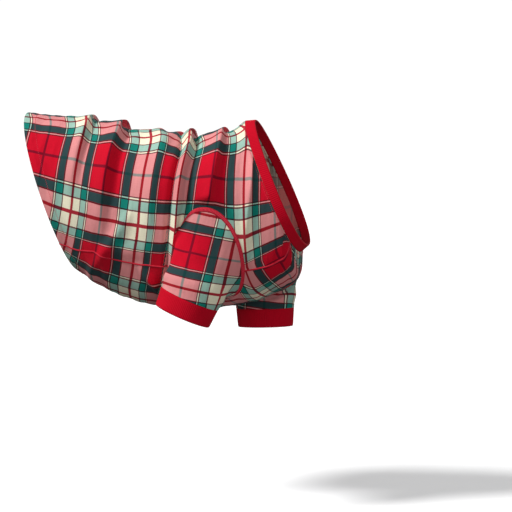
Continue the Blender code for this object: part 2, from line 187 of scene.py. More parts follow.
# %% Wrap a socket so that it can be used in sums
class Wire:
    """A node's output in a material. Sums on wires add Math nodes."""

    def __init__(self, tree, socket=None):
        self.tree = tree
        self.socket = socket

    def node(self, kind, values=(), output=0, **settings):
        """A new node. Its settings are set first, then its inputs, by place or name, as numbers or wires."""
        made = self.tree.nodes.new(kind)
        for name, value in settings.items():
            setattr(made, name, value)
        for name, value in dict(values).items():
            if isinstance(value, Wire):
                self.tree.links.new(value.socket, made.inputs[name])
            else:
                made.inputs[name].default_value = value
        return Wire(self.tree, made.outputs[output])

    def maths(self, operation, *values):
        """A Math node."""
        return self.node("ShaderNodeMath", enumerate(values), operation=operation)

    def __add__(self, other):
        return self.maths("ADD", self, other)

    def __sub__(self, other):
        return self.maths("SUBTRACT", self, other)

    def __mul__(self, other):
        return self.maths("MULTIPLY", self, other)

    def __truediv__(self, other):
        return self.maths("DIVIDE", self, other)

    def __radd__(self, other):
        return self.maths("ADD", other, self)

    def __rsub__(self, other):
        return self.maths("SUBTRACT", other, self)

    def __rmul__(self, other):
        return self.maths("MULTIPLY", other, self)

    def __rtruediv__(self, other):
        return self.maths("DIVIDE", other, self)

    def mix(self, factor, first, second):
        """Two colours mixed, as numbers or wires."""
        values = {0: factor, 6: first, 7: second}
        return self.node("ShaderNodeMix", values, output=2, data_type="RGBA")

    def step(self, edge, soft):
        """0 below an edge and 1 above it, over a soft width."""
        values = {"Value": self, "From Min": edge - soft / 2, "From Max": edge + soft / 2}
        return self.node("ShaderNodeMapRange", values)

    def band(self, start, end, soft):
        """1 between two edges and 0 outside them."""
        return self.step(start, soft) - self.step(end, soft)

    def stretched(self, across, down):
        """This vector with its two parts scaled."""
        return self.node("ShaderNodeVectorMath", {0: self, 1: (across, down, 1.0)}, operation="MULTIPLY")

    def noise(self, scale, detail=2.0):
        """Smooth random values from 0 to 1 that follow this vector."""
        values = {"Vector": self, "Scale": scale, "Detail": detail}
        return self.node("ShaderNodeTexNoise", values)


print("sums on a wire: + - * /")


# %% Start a material
CLOTH_MAP = "cloth"


def screen_colour(red, green, blue):
    """A colour given as it looks on a screen, from 0 to 255, as a shader needs it."""
    shares = [value / 255 for value in (red, green, blue)]
    return (*[s / 12.92 if s <= 0.04045 else ((s + 0.055) / 1.055) ** 2.4 for s in shares], 1.0)


def new_material(name, roughness):
    """A material with its shader node and a wire to start sums from."""
    material = bpy.data.materials.new(name)
    material.use_nodes = True
    shader = material.node_tree.nodes["Principled BSDF"]
    shader.inputs["Roughness"].default_value = roughness
    return material, shader, Wire(material.node_tree)


def places_on_cloth(paint):
    """The place on the cut cloth, in metres: as a vector, and its two parts, along and down."""
    place = paint.node("ShaderNodeUVMap", uv_map=CLOTH_MAP)
    along = place.node("ShaderNodeSeparateXYZ", {0: place})
    return place, along, Wire(along.tree, along.socket.node.outputs[1])


def link_looks(material, shader, colour, roughness, bump):
    """Feeds the shader with what changes over the surface."""
    for name, wire in (("Base Color", colour), ("Roughness", roughness), ("Normal", bump)):
        material.node_tree.links.new(wire.socket, shader.inputs[name])


print("pure red on a screen is", [round(c, 3) for c in screen_colour(255, 0, 0)])

# %% [markdown]
# ## The tartan
#
# A tartan repeats one list of stripes, its sett, both along and across the cloth, and mirrors it at the
# middles of two bands. Here the middles are a broad red band and a narrower cream one. Where two stripes
# cross, their colours mix: red on cream is pink and green on red is a dark slate. An image would do, but a
# sum on the cloth's own coordinates stays sharp at any distance, so the sett is written as numbers in metres.

# %% Write the sett as stripes on the cloth
HALF_SETT = 0.0648
RED_MIDDLE_LINE = 0.0019
GREEN_BANDS = ((0.0357, 0.0472),)
CREAM_BANDS = ((0.0319, 0.0338), (0.0488, 0.0660))
CREAM_MIDDLE_LINE = 0.0627
BLACK_BANDS = ((0.0302, 0.0319), (0.0338, 0.0357), (0.0472, 0.0488))
PRINT_SOFTNESS = 0.0005

RED = screen_colour(206, 4, 38)
PINK = screen_colour(228, 146, 146)
CREAM = screen_colour(247, 241, 212)
TEAL = screen_colour(12, 128, 114)
PALE_TEAL = screen_colour(158, 196, 180)
SLATE = screen_colour(44, 68, 70)
BLACK = screen_colour(30, 16, 20)
MIDDLE_THREAD = (0.36, 0.90, 0.84)
RED_THREAD = (0.47, 0.012, 0.045)
RED_LINE_COVER = 0.98
BLACK_LINE_COVER = 0.82
REVERSE = screen_colour(214, 170, 160)
print("half a sett in mm:", 1000 * HALF_SETT)


# %% Mix the colours of the stripes
def stripes(paint, place):
    """How much green, cream and black lies here, and how much of the middle lines of red and of cream."""
    off = paint.maths("PINGPONG", place, HALF_SETT)
    sums = []
    for bands in (GREEN_BANDS, CREAM_BANDS, BLACK_BANDS):
        total = off.band(*bands[0], PRINT_SOFTNESS)
        for start, end in bands[1:]:
            total = total + off.band(start, end, PRINT_SOFTNESS)
        sums.append(total)
    sums.append(1 - off.step(RED_MIDDLE_LINE, 2 * PRINT_SOFTNESS))
    sums.append(off.step(CREAM_MIDDLE_LINE, PRINT_SOFTNESS))
    return sums


def tartan_colour(paint, along, down):
    """The print's colour from the two sets of stripes."""
    green_along, cream_along, black_along, middle_along, red_along = stripes(paint, along)
    green_down, cream_down, black_down, middle_down, red_down = stripes(paint, down)
    one_cream = paint.mix(cream_along, RED, PINK)
    two_cream = paint.mix(cream_along, PINK, CREAM)
    ground = paint.mix(cream_down, one_cream, two_cream)
    green_rows = paint.mix(green_along, paint.mix(cream_along, SLATE, PALE_TEAL), TEAL)
    green_columns = paint.mix(green_down, paint.mix(cream_down, SLATE, PALE_TEAL), TEAL)
    greened = paint.mix(green_down, ground, green_rows)
    greened = paint.mix(green_along, greened, green_columns)
    threaded = paint.node("ShaderNodeVectorMath", {0: greened, 1: MIDDLE_THREAD}, operation="MULTIPLY")
    lined = paint.mix(paint.maths("MAXIMUM", middle_along, middle_down), greened, threaded)
    reddened = paint.node("ShaderNodeVectorMath", {0: lined, 1: RED_THREAD}, operation="MULTIPLY")
    lined = paint.mix(paint.maths("MAXIMUM", red_along, red_down) * RED_LINE_COVER, lined, reddened)
    black = paint.maths("MAXIMUM", black_along, black_down) * BLACK_LINE_COVER
    return paint.mix(black, lined, BLACK)


print("colours where bands cross:", len((RED, PINK, CREAM, TEAL, PALE_TEAL, SLATE)))

# %% [markdown]
# ## The jersey
#
# Cotton jersey is a fine knit: columns of small V-shaped stitches, about 1.4 mm wide. At this scale real
# loops would cost millions of faces, so the knit is a height pattern that only bends the light. A fine noise
# frets the print's edges a little, and slower ones make the dye uneven, as on washed cotton.

# %% Make the printed jersey and its plain reverse
WALE = 0.0014
COURSE = 0.0011
KNIT_HEIGHT = 0.0004
PRINT_FRET = 0.0007
REVERSE_COVER = 0.45
EVEN_DYE, CLOUDS, STREAKS, SLUBS = 0.75, 0.18, 0.18, 0.14


def knit_height(paint, along, down):
    """The height of a plain knit: two leaning strands in each column, one V above another."""
    lane = paint.maths("PINGPONG", along / WALE, 0.5)
    strand = paint.maths("SINE", (down / COURSE - lane * 1.1) * (2 * math.pi))
    groove = lane.band(0.06, 0.44, 0.16)
    return groove * (0.65 + 0.35 * strand)


def make_jersey(name, printed):
    """Knitted cotton, with the tartan on its face or the paler ground of its reverse."""
    material, shader, paint = new_material(name, 0.92)
    place, along, down = places_on_cloth(paint)
    if printed:
        wander = place.noise(900.0, 1.0) - 0.5
        colour = tartan_colour(paint, along + wander * PRINT_FRET, down + wander * PRINT_FRET)
    else:
        colour = paint.mix(REVERSE_COVER, tartan_colour(paint, along, down), REVERSE)
    cloudy = place.noise(26.0, 3.0)
    streaks = place.stretched(340.0, 46.0).noise(1.0, 2.0)
    slubs = place.stretched(120.0, 900.0).noise(1.0, 2.0)
    shade = EVEN_DYE + cloudy * CLOUDS + streaks * STREAKS + slubs * SLUBS
    tint = paint.node("ShaderNodeVectorMath", {0: colour, 3: shade}, operation="SCALE")
    knit = knit_height(paint, along, down)
    bump = paint.node("ShaderNodeBump", {"Height": knit, "Strength": 0.35, "Distance": KNIT_HEIGHT})
    link_looks(material, shader, tint, 0.86 + cloudy * 0.1, bump)
    shader.inputs["Sheen Weight"].default_value = 0.04
    shader.inputs["Sheen Roughness"].default_value = 0.5
    shader.inputs["Specular IOR Level"].default_value = 0.14
    return material


jersey = make_jersey("plaid_jersey", True)
jersey_reverse = make_jersey("plaid_jersey_reverse", False)
print("nodes in the jersey:", len(jersey.node_tree.nodes))

# %% [markdown]
# ## The body of the garment
#
# The trunk is a tube of changing cross-section. It could be modelled by hand, but a table of cross-sections
# from the rear hem to the neck, joined by a smooth curve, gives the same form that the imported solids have.
# Every later piece asks these functions where the cloth is, so that edges and seams meet.

# %% Describe the trunk's cross-sections
BACK_LENGTH = 0.376
CHEST_DEPTH = 0.292
CHEST_WIDTH = 0.215
JERSEY_WALL = 0.0018
RIB_WALL = 0.0026
SEAM_GAP = 0.0008
NECK_SEAM_GAP = 0.0019
HALF_GIRTH = 0.39
SECTION_FULLNESS = 0.88
FOLD_LEAN = 0.125

# Along is a share of BACK_LENGTH, rise of CHEST_DEPTH and width of CHEST_WIDTH
Station = namedtuple("Station", "top_along top_rise bottom_along bottom_rise width egg")
STATIONS = (
    Station(-0.794, 0.130, -0.566, -0.766, 0.84, 0.06),
    Station(-0.663, 0.116, -0.470, -0.850, 0.88, 0.08),
    Station(-0.531, 0.093, -0.355, -0.918, 0.91, 0.10),
    Station(-0.399, 0.059, -0.233, -0.958, 0.95, 0.14),
    Station(-0.268, 0.028, -0.101, -0.975, 0.99, 0.18),
    Station(-0.136, 0.011, 0.031, -0.975, 1.00, 0.22),
    Station(-0.013, 0.003, 0.154, -0.952, 0.99, 0.22),
    Station(0.075, 0.008, 0.281, -0.907, 0.93, 0.16),
    Station(0.136, 0.037, 0.408, -0.811, 0.87, 0.00),
    Station(0.184, 0.082, 0.426, -0.653, 0.83, -0.20),
)
print("cross-sections:", len(STATIONS))


# %% Read the cross-sections as smooth curves
def smooth_rows(column, where):
    """A smooth curve through a table's column, read at where, from 0 at the first row to 1 at the last."""
    values = np.asarray(column, float)
    last = len(values) - 1
    place = where * last
    row = np.clip(np.floor(place).astype(int), 0, last - 1)
    part = place - row
    before, start = values[np.maximum(row - 1, 0)], values[row]
    end, after = values[row + 1], values[np.minimum(row + 2, last)]
    rise = end - start
    lead_in, lead_out = (end - before) / 2, (after - start) / 2
    bend = 3 * rise - 2 * lead_in - lead_out
    twist = lead_in + lead_out - 2 * rise
    return start + part * (lead_in + part * (bend + part * twist))


def station_at(where):
    """The cross-section at a share of the way from hem to neck, in metres."""
    column = {name: smooth_rows([getattr(s, name) for s in STATIONS], where) for name in Station._fields}
    return Station(
        column["top_along"] * BACK_LENGTH,
        column["top_rise"] * CHEST_DEPTH,
        column["bottom_along"] * BACK_LENGTH,
        column["bottom_rise"] * CHEST_DEPTH,
        column["width"] * CHEST_WIDTH / 2,
        column["egg"],
    )


print("the trunk's half width in mm, half way along:", round(1000 * float(station_at(0.5).width), 1))

# %% Find points of the trunk
SMALL_STEP = 1e-3


def bare_trunk(where, turn):
    """The trunk with no folds. Turn runs from 0 on the back to pi under the belly, positive on the left."""
    station = station_at(where)
    height = (1 + np.cos(turn)) / 2
    x = station.bottom_along + (station.top_along - station.bottom_along) * height
    z = station.bottom_rise + (station.top_rise - station.bottom_rise) * height
    round_share = np.sign(np.sin(turn)) * np.abs(np.sin(turn)) ** SECTION_FULLNESS
    y = station.width * round_share * (1 + station.egg * np.cos(turn))
    return np.stack([x, y, z], axis=-1)


def outward(where, turn):
    """Unit normals of the bare trunk."""
    step = SMALL_STEP
    along = bare_trunk(np.minimum(where + step, 1), turn) - bare_trunk(np.maximum(where - step, 0), turn)
    around = bare_trunk(where, turn + step) - bare_trunk(where, turn - step)
    normal = np.cross(along, around)
    return normal / np.linalg.norm(normal, axis=-1, keepdims=True)


def fold_place(points, turn):
    """How far along the body a point lies when measured along the run of the folds."""
    return points[..., 0] / BACK_LENGTH + FOLD_LEAN * np.abs(turn) / math.pi


print("the neck's top in mm:", np.round(1000 * bare_trunk(1.0, 0.0), 1).tolist())

# %% [markdown]
# ## Armholes and side seams
#
# The sleeves are sewn into oval holes in the sides, and a seam runs low along each side between the back and
# the belly panel. Both are described as curves on the trunk, in shares of its length and girth.

# %% Describe the armholes and the side seams
ARMHOLE_WIDTH = 0.112
ARMHOLE_HEIGHT = 0.140
LEG_SPREAD = 0.098
CUFF_LENGTH = 0.099
CUFF_BREADTH = 0.074
CUFF_HEIGHT = 0.031
CUFF_TAPER = 0.95
NECK_BAND_WIDTH = 0.014
NECK_BAND_TAPER = 0.955
ARMHOLE_FLARE = 0.20
ARMHOLE_BOXINESS = 0.30
ARMHOLE_REAR = 0.76
ARMHOLE_REAR_FULLNESS = 0.75
SLEEVE_BLOUSE = 0.003
SLEEVE_SAG = 0.0075
SEAM_CLEARANCE = 0.02

Sleeve = namedtuple(
    "Sleeve", "side armhole_along armhole_rise armhole_lean base_slant cuff_along cuff_rise swing"
)
SLEEVES = {
    "right": Sleeve(-1, 0.053, -0.404, 0.000, 0.15, -0.013, -0.895, -23.0),
    "left": Sleeve(1, 0.190, -0.404, 0.200, -0.12, 0.223, -0.997, 1.5),
}
SEAM_WHERE = (0.00, 0.10, 0.18, 0.26, 0.50, 0.74, 0.88, 0.94, 1.00)
SEAM_TURN = (0.722, 0.698, 0.666, 0.671, 0.667, 0.712, 0.740, 0.772, 0.810)
print("sleeves:", sorted(SLEEVES))

# %% Search for places on the trunk
HALVINGS = 40


def trunk_place(x, z):
    """The share from hem to neck, and the turn, of the point of the trunk's side that is seen at x and z."""
    low, high = np.zeros_like(x), np.ones_like(x)
    for _ in range(HALVINGS):
        middle = (low + high) / 2
        station = station_at(middle)
        height = (z - station.bottom_rise) / (station.top_rise - station.bottom_rise)
        behind = station.bottom_along + (station.top_along - station.bottom_along) * height < x
        low, high = np.where(behind, middle, low), np.where(behind, high, middle)
    return middle, np.arccos(np.clip(2 * height - 1, -1, 1))


def where_on_fold_line(place, turn):
    """The share from hem to neck where a line along the run of the folds meets a turn."""
    low, high = np.zeros_like(place), np.ones_like(place)
    for _ in range(HALVINGS):
        middle = (low + high) / 2
        behind = fold_place(bare_trunk(middle, turn), turn) < place
        low, high = np.where(behind, middle, low), np.where(behind, high, middle)
    return middle


print("halvings in a search:", HALVINGS)


# %% Follow the armholes and the side seams
def armhole_middle(sleeve):
    """The middle of an armhole in the side view."""
    along = sleeve.armhole_along * BACK_LENGTH + sleeve.armhole_lean * ARMHOLE_HEIGHT / 2
    return along, sleeve.armhole_rise * CHEST_DEPTH - ARMHOLE_HEIGHT / 2


def armhole(sleeve, angle, inset=0.0):
    """Points of the armhole seam, angle 0 at its top and a quarter turn at its front, as (where, turn)."""
    down = (1 - np.cos(angle)) / 2
    rear = np.sin(angle) < 0
    boxy = 1.0 - ARMHOLE_BOXINESS * (2 * down - 1)
    fullness = np.where(down < 0.5, np.where(rear, ARMHOLE_REAR_FULLNESS, 1.0), boxy)
    reach = np.sign(np.sin(angle)) * np.abs(np.sin(angle)) ** fullness
    flare = (1 + ARMHOLE_FLARE * (down - 0.5)) * np.where(rear, ARMHOLE_REAR, 1.0)
    half = ARMHOLE_WIDTH / 2 - inset
    tall = ARMHOLE_HEIGHT - 2 * inset
    leaning = sleeve.armhole_lean * ARMHOLE_HEIGHT * down
    x = sleeve.armhole_along * BACK_LENGTH + leaning + half * flare * reach
    z = sleeve.armhole_rise * CHEST_DEPTH - inset - tall * down * (1 + sleeve.base_slant * np.sin(angle))
    where, turn = trunk_place(x, z)
    return where, sleeve.side * turn


def seam_turn(where):
    """The side seam's turn at a share of the way from hem to neck."""
    return math.pi * np.interp(where, SEAM_WHERE, SEAM_TURN)


def armhole_ends(sleeve):
    """Where the side seam meets the armhole behind and before the leg, as shares from hem to neck."""
    where, turn = armhole(sleeve, np.linspace(0, 2 * math.pi, 721))
    below = np.abs(turn) > seam_turn(where)
    crossings = where[:-1][below[1:] != below[:-1]]
    return crossings.min(), crossings.max()


print("armhole ends, right:", [round(float(w), 3) for w in armhole_ends(SLEEVES["right"])])

# %% [markdown]
# ## Folds
#
# Spare cloth gathers in rolls across the back, steep in front and gentle behind, and dies out down each side.
# Each roll is one row of a table: where its crest crosses the back, how far the crest drifts forward down
# each side, its height, its widths behind and before the crest, where round the body it starts, how far it
# reaches on each side and how far its crest leans forward. A height below zero is a crease. Softer swellings,
# and a smooth noise that is stretched down the cloth, give the rest. A cloth simulation makes folds too, but
# not at chosen places.

# %% List the rolls and the swellings
FOLD_HEIGHT = 0.010
Roll = namedtuple(
    "Roll", "place right_drift left_drift height rear_width front_width start right_reach left_reach lean"
)
ROLLS = (
    Roll(-0.520, 0.040, 0.014, 0.90, 0.044, 0.014, 0.0, 0.40, 0.22, 0.6),
    Roll(-0.480, 0.036, 0.006, -0.30, 0.012, 0.012, 0.0, 0.36, 0.20, 0.0),
    Roll(-0.394, 0.056, 0.020, 1.15, 0.050, 0.016, 0.0, 0.50, 0.28, 0.9),
    Roll(-0.326, 0.040, 0.010, -0.25, 0.014, 0.014, 0.0, 0.36, 0.24, 0.0),
    Roll(-0.206, 0.082, 0.020, 0.70, 0.050, 0.030, 0.0, 0.50, 0.34, 0.3),
    Roll(-0.120, 0.010, 0.012, 0.45, 0.026, 0.014, 0.0, 0.16, 0.26, 0.4),
    Roll(-0.106, 0.064, 0.040, -0.80, 0.009, 0.008, 0.0, 0.72, 0.24, 0.0),
    Roll(-0.082, 0.072, 0.020, 1.15, 0.024, 0.010, 0.0, 0.76, 0.28, 0.9),
    Roll(-0.036, 0.056, 0.012, -0.70, 0.016, 0.014, 0.0, 0.76, 0.24, 0.0),
    Roll(0.068, 0.050, 0.018, 1.15, 0.044, 0.016, 0.0, 0.52, 0.32, 0.9),
    Roll(0.268, 0.030, 0.024, 0.80, 0.026, 0.012, 0.26, 0.56, 0.50, 0.3),
)
Puff = namedtuple("Puff", "along rise across tall slant height side")
PUFFS = (
    Puff(0.330, -0.700, 0.070, 0.130, 0.0, 0.0025, -1),
    Puff(0.180, -0.320, 0.022, 0.160, 0.0, 0.0035, -1),
    Puff(-0.300, -0.640, 0.120, 0.050, 0.0, 0.0035, -1),
    Puff(-0.250, -0.480, 0.040, 0.220, 0.0, 0.0030, 1),
    Puff(-0.395, -0.640, 0.030, 0.170, -0.10, 0.0045, -1),
    Puff(-0.190, -0.820, 0.024, 0.080, 0.04, 0.0085, -1),
    Puff(-0.330, -0.560, 0.034, 0.140, -0.06, 0.0040, -1),
    Puff(0.450, -0.670, 0.060, 0.070, 0.0, 0.0045, 0),
)
print("rolls:", len(ROLLS), "highest in mm:", round(1000 * FOLD_HEIGHT * max(r.height for r in ROLLS), 1))

# %% Lift the cloth along the rolls
# Shares of the half girth
SPINE_REACH = 0.11
END_SOFTNESS = 0.05
START_SOFTNESS = 0.04
# What a roll gains or loses on its way from the spine to the side
SIDE_WIDENING = 0.012
SIDE_GROWTH = 0.35
SIDE_LEAN_LOSS = 0.7
CREST_SHARPNESS = 1.5


def roll_height(points, turn):
    """How far the rolls of cloth lift each point, and how far their crests lean forward."""
    share = turn / math.pi
    away = 1 - np.exp(-((share / SPINE_REACH) ** 2))
    lift, lean = np.zeros(len(points)), np.zeros(len(points))
    for roll in ROLLS:
        drift = away * np.where(share < 0, roll.right_drift, roll.left_drift)
        off_crest = fold_place(points, turn) - roll.place - drift
        spread = np.where(off_crest < 0, roll.rear_width, roll.front_width + SIDE_WIDENING * away)
        reach = np.where(share < 0, roll.right_reach, roll.left_reach)
        lasting = 1 / (1 + np.exp((np.abs(share) - reach) / END_SOFTNESS))
        if roll.start:
            lasting = lasting / (1 + np.exp((roll.start - np.abs(share)) / START_SOFTNESS))
        grown = FOLD_HEIGHT * roll.height * lasting * (1 + SIDE_GROWTH * away)
        raised = grown * np.exp(-np.abs(off_crest / spread) ** CREST_SHARPNESS)
        lift += raised
        lean += raised * roll.lean * (1 - SIDE_LEAN_LOSS * away)
    return lift, lean


print("creases among the rolls:", sum(roll.height < 0 for roll in ROLLS))

# %% Add the swellings and the small wrinkles
# Each layer's height, width, length and seed
WRINKLES = ((0.0021, 0.018, 0.095, 3.1), (0.0006, 0.007, 0.040, 7.7))


def puff_height(points):
    """How far the soft swellings lift each point."""
    lift = np.zeros(len(points))
    for puff in PUFFS:
        tall = points[:, 2] / CHEST_DEPTH - puff.rise
        across = points[:, 0] / BACK_LENGTH - puff.along + puff.slant * tall / puff.tall
        same_side = np.clip(puff.side * points[:, 1] / (0.2 * CHEST_WIDTH), 0, 1) if puff.side else 1.0
        lift += puff.height * same_side * np.exp(-((across / puff.across) ** 2) - (tall / puff.tall) ** 2)
    return lift


def wrinkle_height(points, turn):
    """Small wrinkles that run down the cloth."""
    along = fold_place(points, turn) * BACK_LENGTH
    down = turn / math.pi * HALF_GIRTH
    spots = np.stack([along, down], axis=1).tolist()
    lift = np.zeros(len(points))
    for height, width, length, seed in WRINKLES:
        lift += height * np.array([noise.noise(Vector((a / width, d / length, seed))) for a, d in spots])
    return lift


print("layers of wrinkles:", len(WRINKLES))

# %% Fold the trunk
HEM_WIDTH = 0.016
HEM_STEP = 0.0009
HEM_EDGE = 0.0015
CALM_END = 0.05
CALM_BY_ARMHOLE, CALM_FADE = 1.05, 0.25


def near_edge(where, turn):
    """1 over most of the cloth, falling to 0 at the hem, the neck seam and the armholes."""
    points = bare_trunk(where, turn)
    calm = np.clip(np.minimum(where, 1 - where) / CALM_END, 0, 1)
    for sleeve in SLEEVES.values():
        along, rise = armhole_middle(sleeve)
        across = (points[:, 0] - along) / (0.5 * ARMHOLE_WIDTH)
        across = np.where(across < 0, across / ARMHOLE_REAR, across)
        tall = (points[:, 2] - rise) / (0.5 * ARMHOLE_HEIGHT)
        far = np.sqrt(across**2 + tall**2)
        on_side = sleeve.side * turn > 0
        calm = np.where(on_side, calm * np.clip((far - CALM_BY_ARMHOLE) / CALM_FADE, 0, 1), calm)
    return calm * calm * (3 - 2 * calm)


def folded_trunk(where, turn):
    """The outer face of the trunk's cloth, with its folds."""
    points = bare_trunk(where, turn)
    rolls, lean = roll_height(points, turn)
    lift = rolls + puff_height(points) + wrinkle_height(points, turn)
    calm = near_edge(where, turn)
    doubled = HEM_STEP * np.clip((HEM_WIDTH - where * BACK_LENGTH) / HEM_EDGE, 0, 1)
    normal = outward(where, turn)
    forward = np.empty_like(normal)
    forward[:, 0] = np.sqrt(np.clip(1 - normal[:, 0] ** 2, 0, 1))
    forward[:, 1:] = -normal[:, 1:] * (normal[:, 0] / np.maximum(forward[:, 0], 0.2))[:, None]
    return points + normal * (lift * calm + doubled)[:, None] + forward * (lean * calm)[:, None]


print("hem in mm:", 1000 * HEM_WIDTH, "wide and", 1000 * HEM_STEP, "higher than the cloth")

# %% [markdown]
# ## Cutting a panel
#
# A tailor lays the pattern flat, cuts along its outline and sews the cut to its neighbours. The code does the
# same: it lays the outline out flat, fills it with an even grid of points, joins them by triangles and then
# puts every point in its place on the worn garment. A flat grid keeps the triangles even, and the outline is
# kept exactly, which a cut with a Boolean modifier wouldn't do as cleanly.


# %% Follow the edge of a panel
def beside_seam(where, upper):
    """The turn of a panel's edge, half a seam gap away from the seam's middle."""
    step = SMALL_STEP
    turn = seam_turn(where)
    here = bare_trunk(where, turn)
    along = bare_trunk(where + step, seam_turn(where + step)) - here
    around = (bare_trunk(where, turn + step) - here) / step
    along /= np.linalg.norm(along, axis=-1, keepdims=True)
    width_per_turn = np.linalg.norm(np.cross(along, around), axis=-1)
    return turn + (-1 if upper else 1) * SEAM_GAP / 2 / width_per_turn


def armhole_arc(sleeve, upper):
    """The armhole's edge on the back panel, or on the belly panel, from its rear to its front."""
    angle = np.linspace(0, 2 * math.pi, 257)[:-1]
    angle = np.roll(angle, len(angle) // 2) if upper else angle[::-1]
    where, turn = armhole(sleeve, angle, -SEAM_GAP / 2)
    below_seam = np.abs(turn) - seam_turn(where)
    keep = below_seam < -SEAM_CLEARANCE if upper else below_seam > SEAM_CLEARANCE
    return list(zip(where[keep], np.abs(turn[keep])))


def panel_edge(side, upper):
    """One long edge of a panel, from the hem to the neck, as (where, turn), cut out for the sleeve."""
    sleeve = SLEEVES["right" if side < 0 else "left"]
    rear, front = armhole_ends(sleeve)
    behind = np.linspace(0, rear, 90)[:-1]
    before = np.linspace(front, 1, 40)[1:]
    edge = list(zip(behind, beside_seam(behind, upper)))
    edge += armhole_arc(sleeve, upper)
    edge += list(zip(before, beside_seam(before, upper)))
    return [(float(w), side * float(t)) for w, t in edge]


print("points of the right edge of the back:", len(panel_edge(-1, True)))

# %% Fill an outline with cloth
GRID_STEP = 0.0026
GRID_ROW = 0.87 * GRID_STEP
GRID_MARGIN = 0.55 * GRID_STEP


def short_turn(turn):
    """The same turn counted the short way round, from the back."""
    return (turn + math.pi) % (2 * math.pi) - math.pi


def well_inside(outline, points, margin):
    """Which points lie inside a closed outline and at least a margin from it."""
    start, end = outline, np.roll(outline, -1, axis=0)
    found = np.zeros(len(points), bool)
    nearest = np.full(len(points), np.inf)
    for (x1, y1), (x2, y2) in zip(start, end):
        crosses = (y1 > points[:, 1]) != (y2 > points[:, 1])
        rise = y2 - y1 if y2 != y1 else 1e-12
        found ^= crosses & (points[:, 0] < x1 + (points[:, 1] - y1) * (x2 - x1) / rise)
        run = np.array([x2 - x1, y2 - y1])
        share = np.clip((points - (x1, y1)) @ run / max(run @ run, 1e-12), 0, 1)
        nearest = np.minimum(nearest, np.linalg.norm(points - (x1, y1) - share[:, None] * run, axis=1))
    return found & (nearest > margin)


def fill_outline(outline):
    """The outline's points and an even grid of points inside it, joined by triangles."""
    low, high = outline.min(axis=0), outline.max(axis=0)
    rows = np.arange(low[1], high[1], GRID_ROW)
    spots = []
    for i, row in enumerate(rows):
        columns = np.arange(low[0] + GRID_STEP / 2 * (i % 2), high[0], GRID_STEP)
        spots.append(np.stack([columns, np.full_like(columns, row)], axis=1))
    spots = np.concatenate(spots)
    spots = spots[well_inside(outline, spots, GRID_MARGIN)]
    points = np.concatenate([outline, spots])
    border = [(i, (i + 1) % len(outline)) for i in range(len(outline))]
    found, _, faces, _, _, _ = delaunay_2d_cdt([Vector(p) for p in points.tolist()], border, [], 1, 1e-7)
    return np.array([tuple(v) for v in found]), [tuple(f) for f in faces]


print("grid step in mm:", 1000 * GRID_STEP)


# %% Make a sheet and turn its faces
def cloth_object(name, vertices, faces, cloth_places):
    """An open sheet of cloth with its place on the cut cloth as a UV map, in metres."""
    piece = new_object(name, vertices.tolist(), [], faces)
    layer = piece.data.uv_layers.new(name=CLOTH_MAP)
    corners = np.zeros(len(piece.data.loops), int)
    piece.data.loops.foreach_get("vertex_index", corners)
    layer.data.foreach_set("uv", cloth_places[corners].astype(np.float32).ravel())
    return piece


def face_outwards(piece, away_from):
    """Turns the faces of an open sheet away from a line along its middle."""
    cloth = bmesh.new()
    cloth.from_mesh(piece.data)
    bmesh.ops.recalc_face_normals(cloth, faces=cloth.faces)
    middles = [f.calc_center_median() for f in cloth.faces]
    facing = sum((m - away_from(m)).dot(f.normal) for m, f in zip(middles, cloth.faces))
    if facing < 0:
        bmesh.ops.reverse_faces(cloth, faces=cloth.faces)
    cloth.to_mesh(piece.data)
    cloth.free()


def face_shell_outwards(mesh):
    """Turns the faces of a closed shell outwards."""
    shell = bmesh.new()
    shell.from_mesh(mesh)
    bmesh.ops.recalc_face_normals(shell, faces=shell.faces)
    shell.to_mesh(mesh)
    shell.free()


print("a sheet's UV map:", CLOTH_MAP)

# %% Give the cloth its wall
SHARP_ANGLE = math.radians(55)


def keep_result(piece):
    """Makes the result of a piece's modifiers its plain mesh."""
    graph = bpy.context.evaluated_depsgraph_get()
    made = bpy.data.meshes.new_from_object(piece.evaluated_get(graph))
    piece.modifiers.clear()
    piece.data = made
    made.name = piece.name
    made.shade_smooth()
    return made


def give_wall(piece, thickness, outside, inside):
    """The cloth's thickness, inwards from the modelled face, as a plain mesh with two materials."""
    piece.data.materials.append(outside)
    piece.data.materials.append(inside)
    wall = piece.modifiers.new("wall", "SOLIDIFY")
    wall.thickness = thickness
    wall.offset = -1.0
    wall.use_rim = True
    wall.material_offset = 1
    made = keep_result(piece)
    made.set_sharp_from_angle(angle=SHARP_ANGLE)
    made.calc_loop_triangles()
    print(piece.name, "triangles:", len(made.loop_triangles))


print("walls in mm:", 1000 * JERSEY_WALL, "for jersey and", 1000 * RIB_WALL, "for rib")

# %% [markdown]
# ## Where the print falls
#
# The print is straight on the cut cloth, but the worn cloth is gathered, so its columns crowd at the rolls
# and run down the sides with them. Unwrapping the mesh would lay the print evenly and miss that, so short
# tables say which place of the cloth lies where on the body: for the columns along the body, for the rows
# round it, and for the rows beside the neck and on the chest, which run another way. The cloth is one piece
# across the back, so the rows count on from the right side to the left.

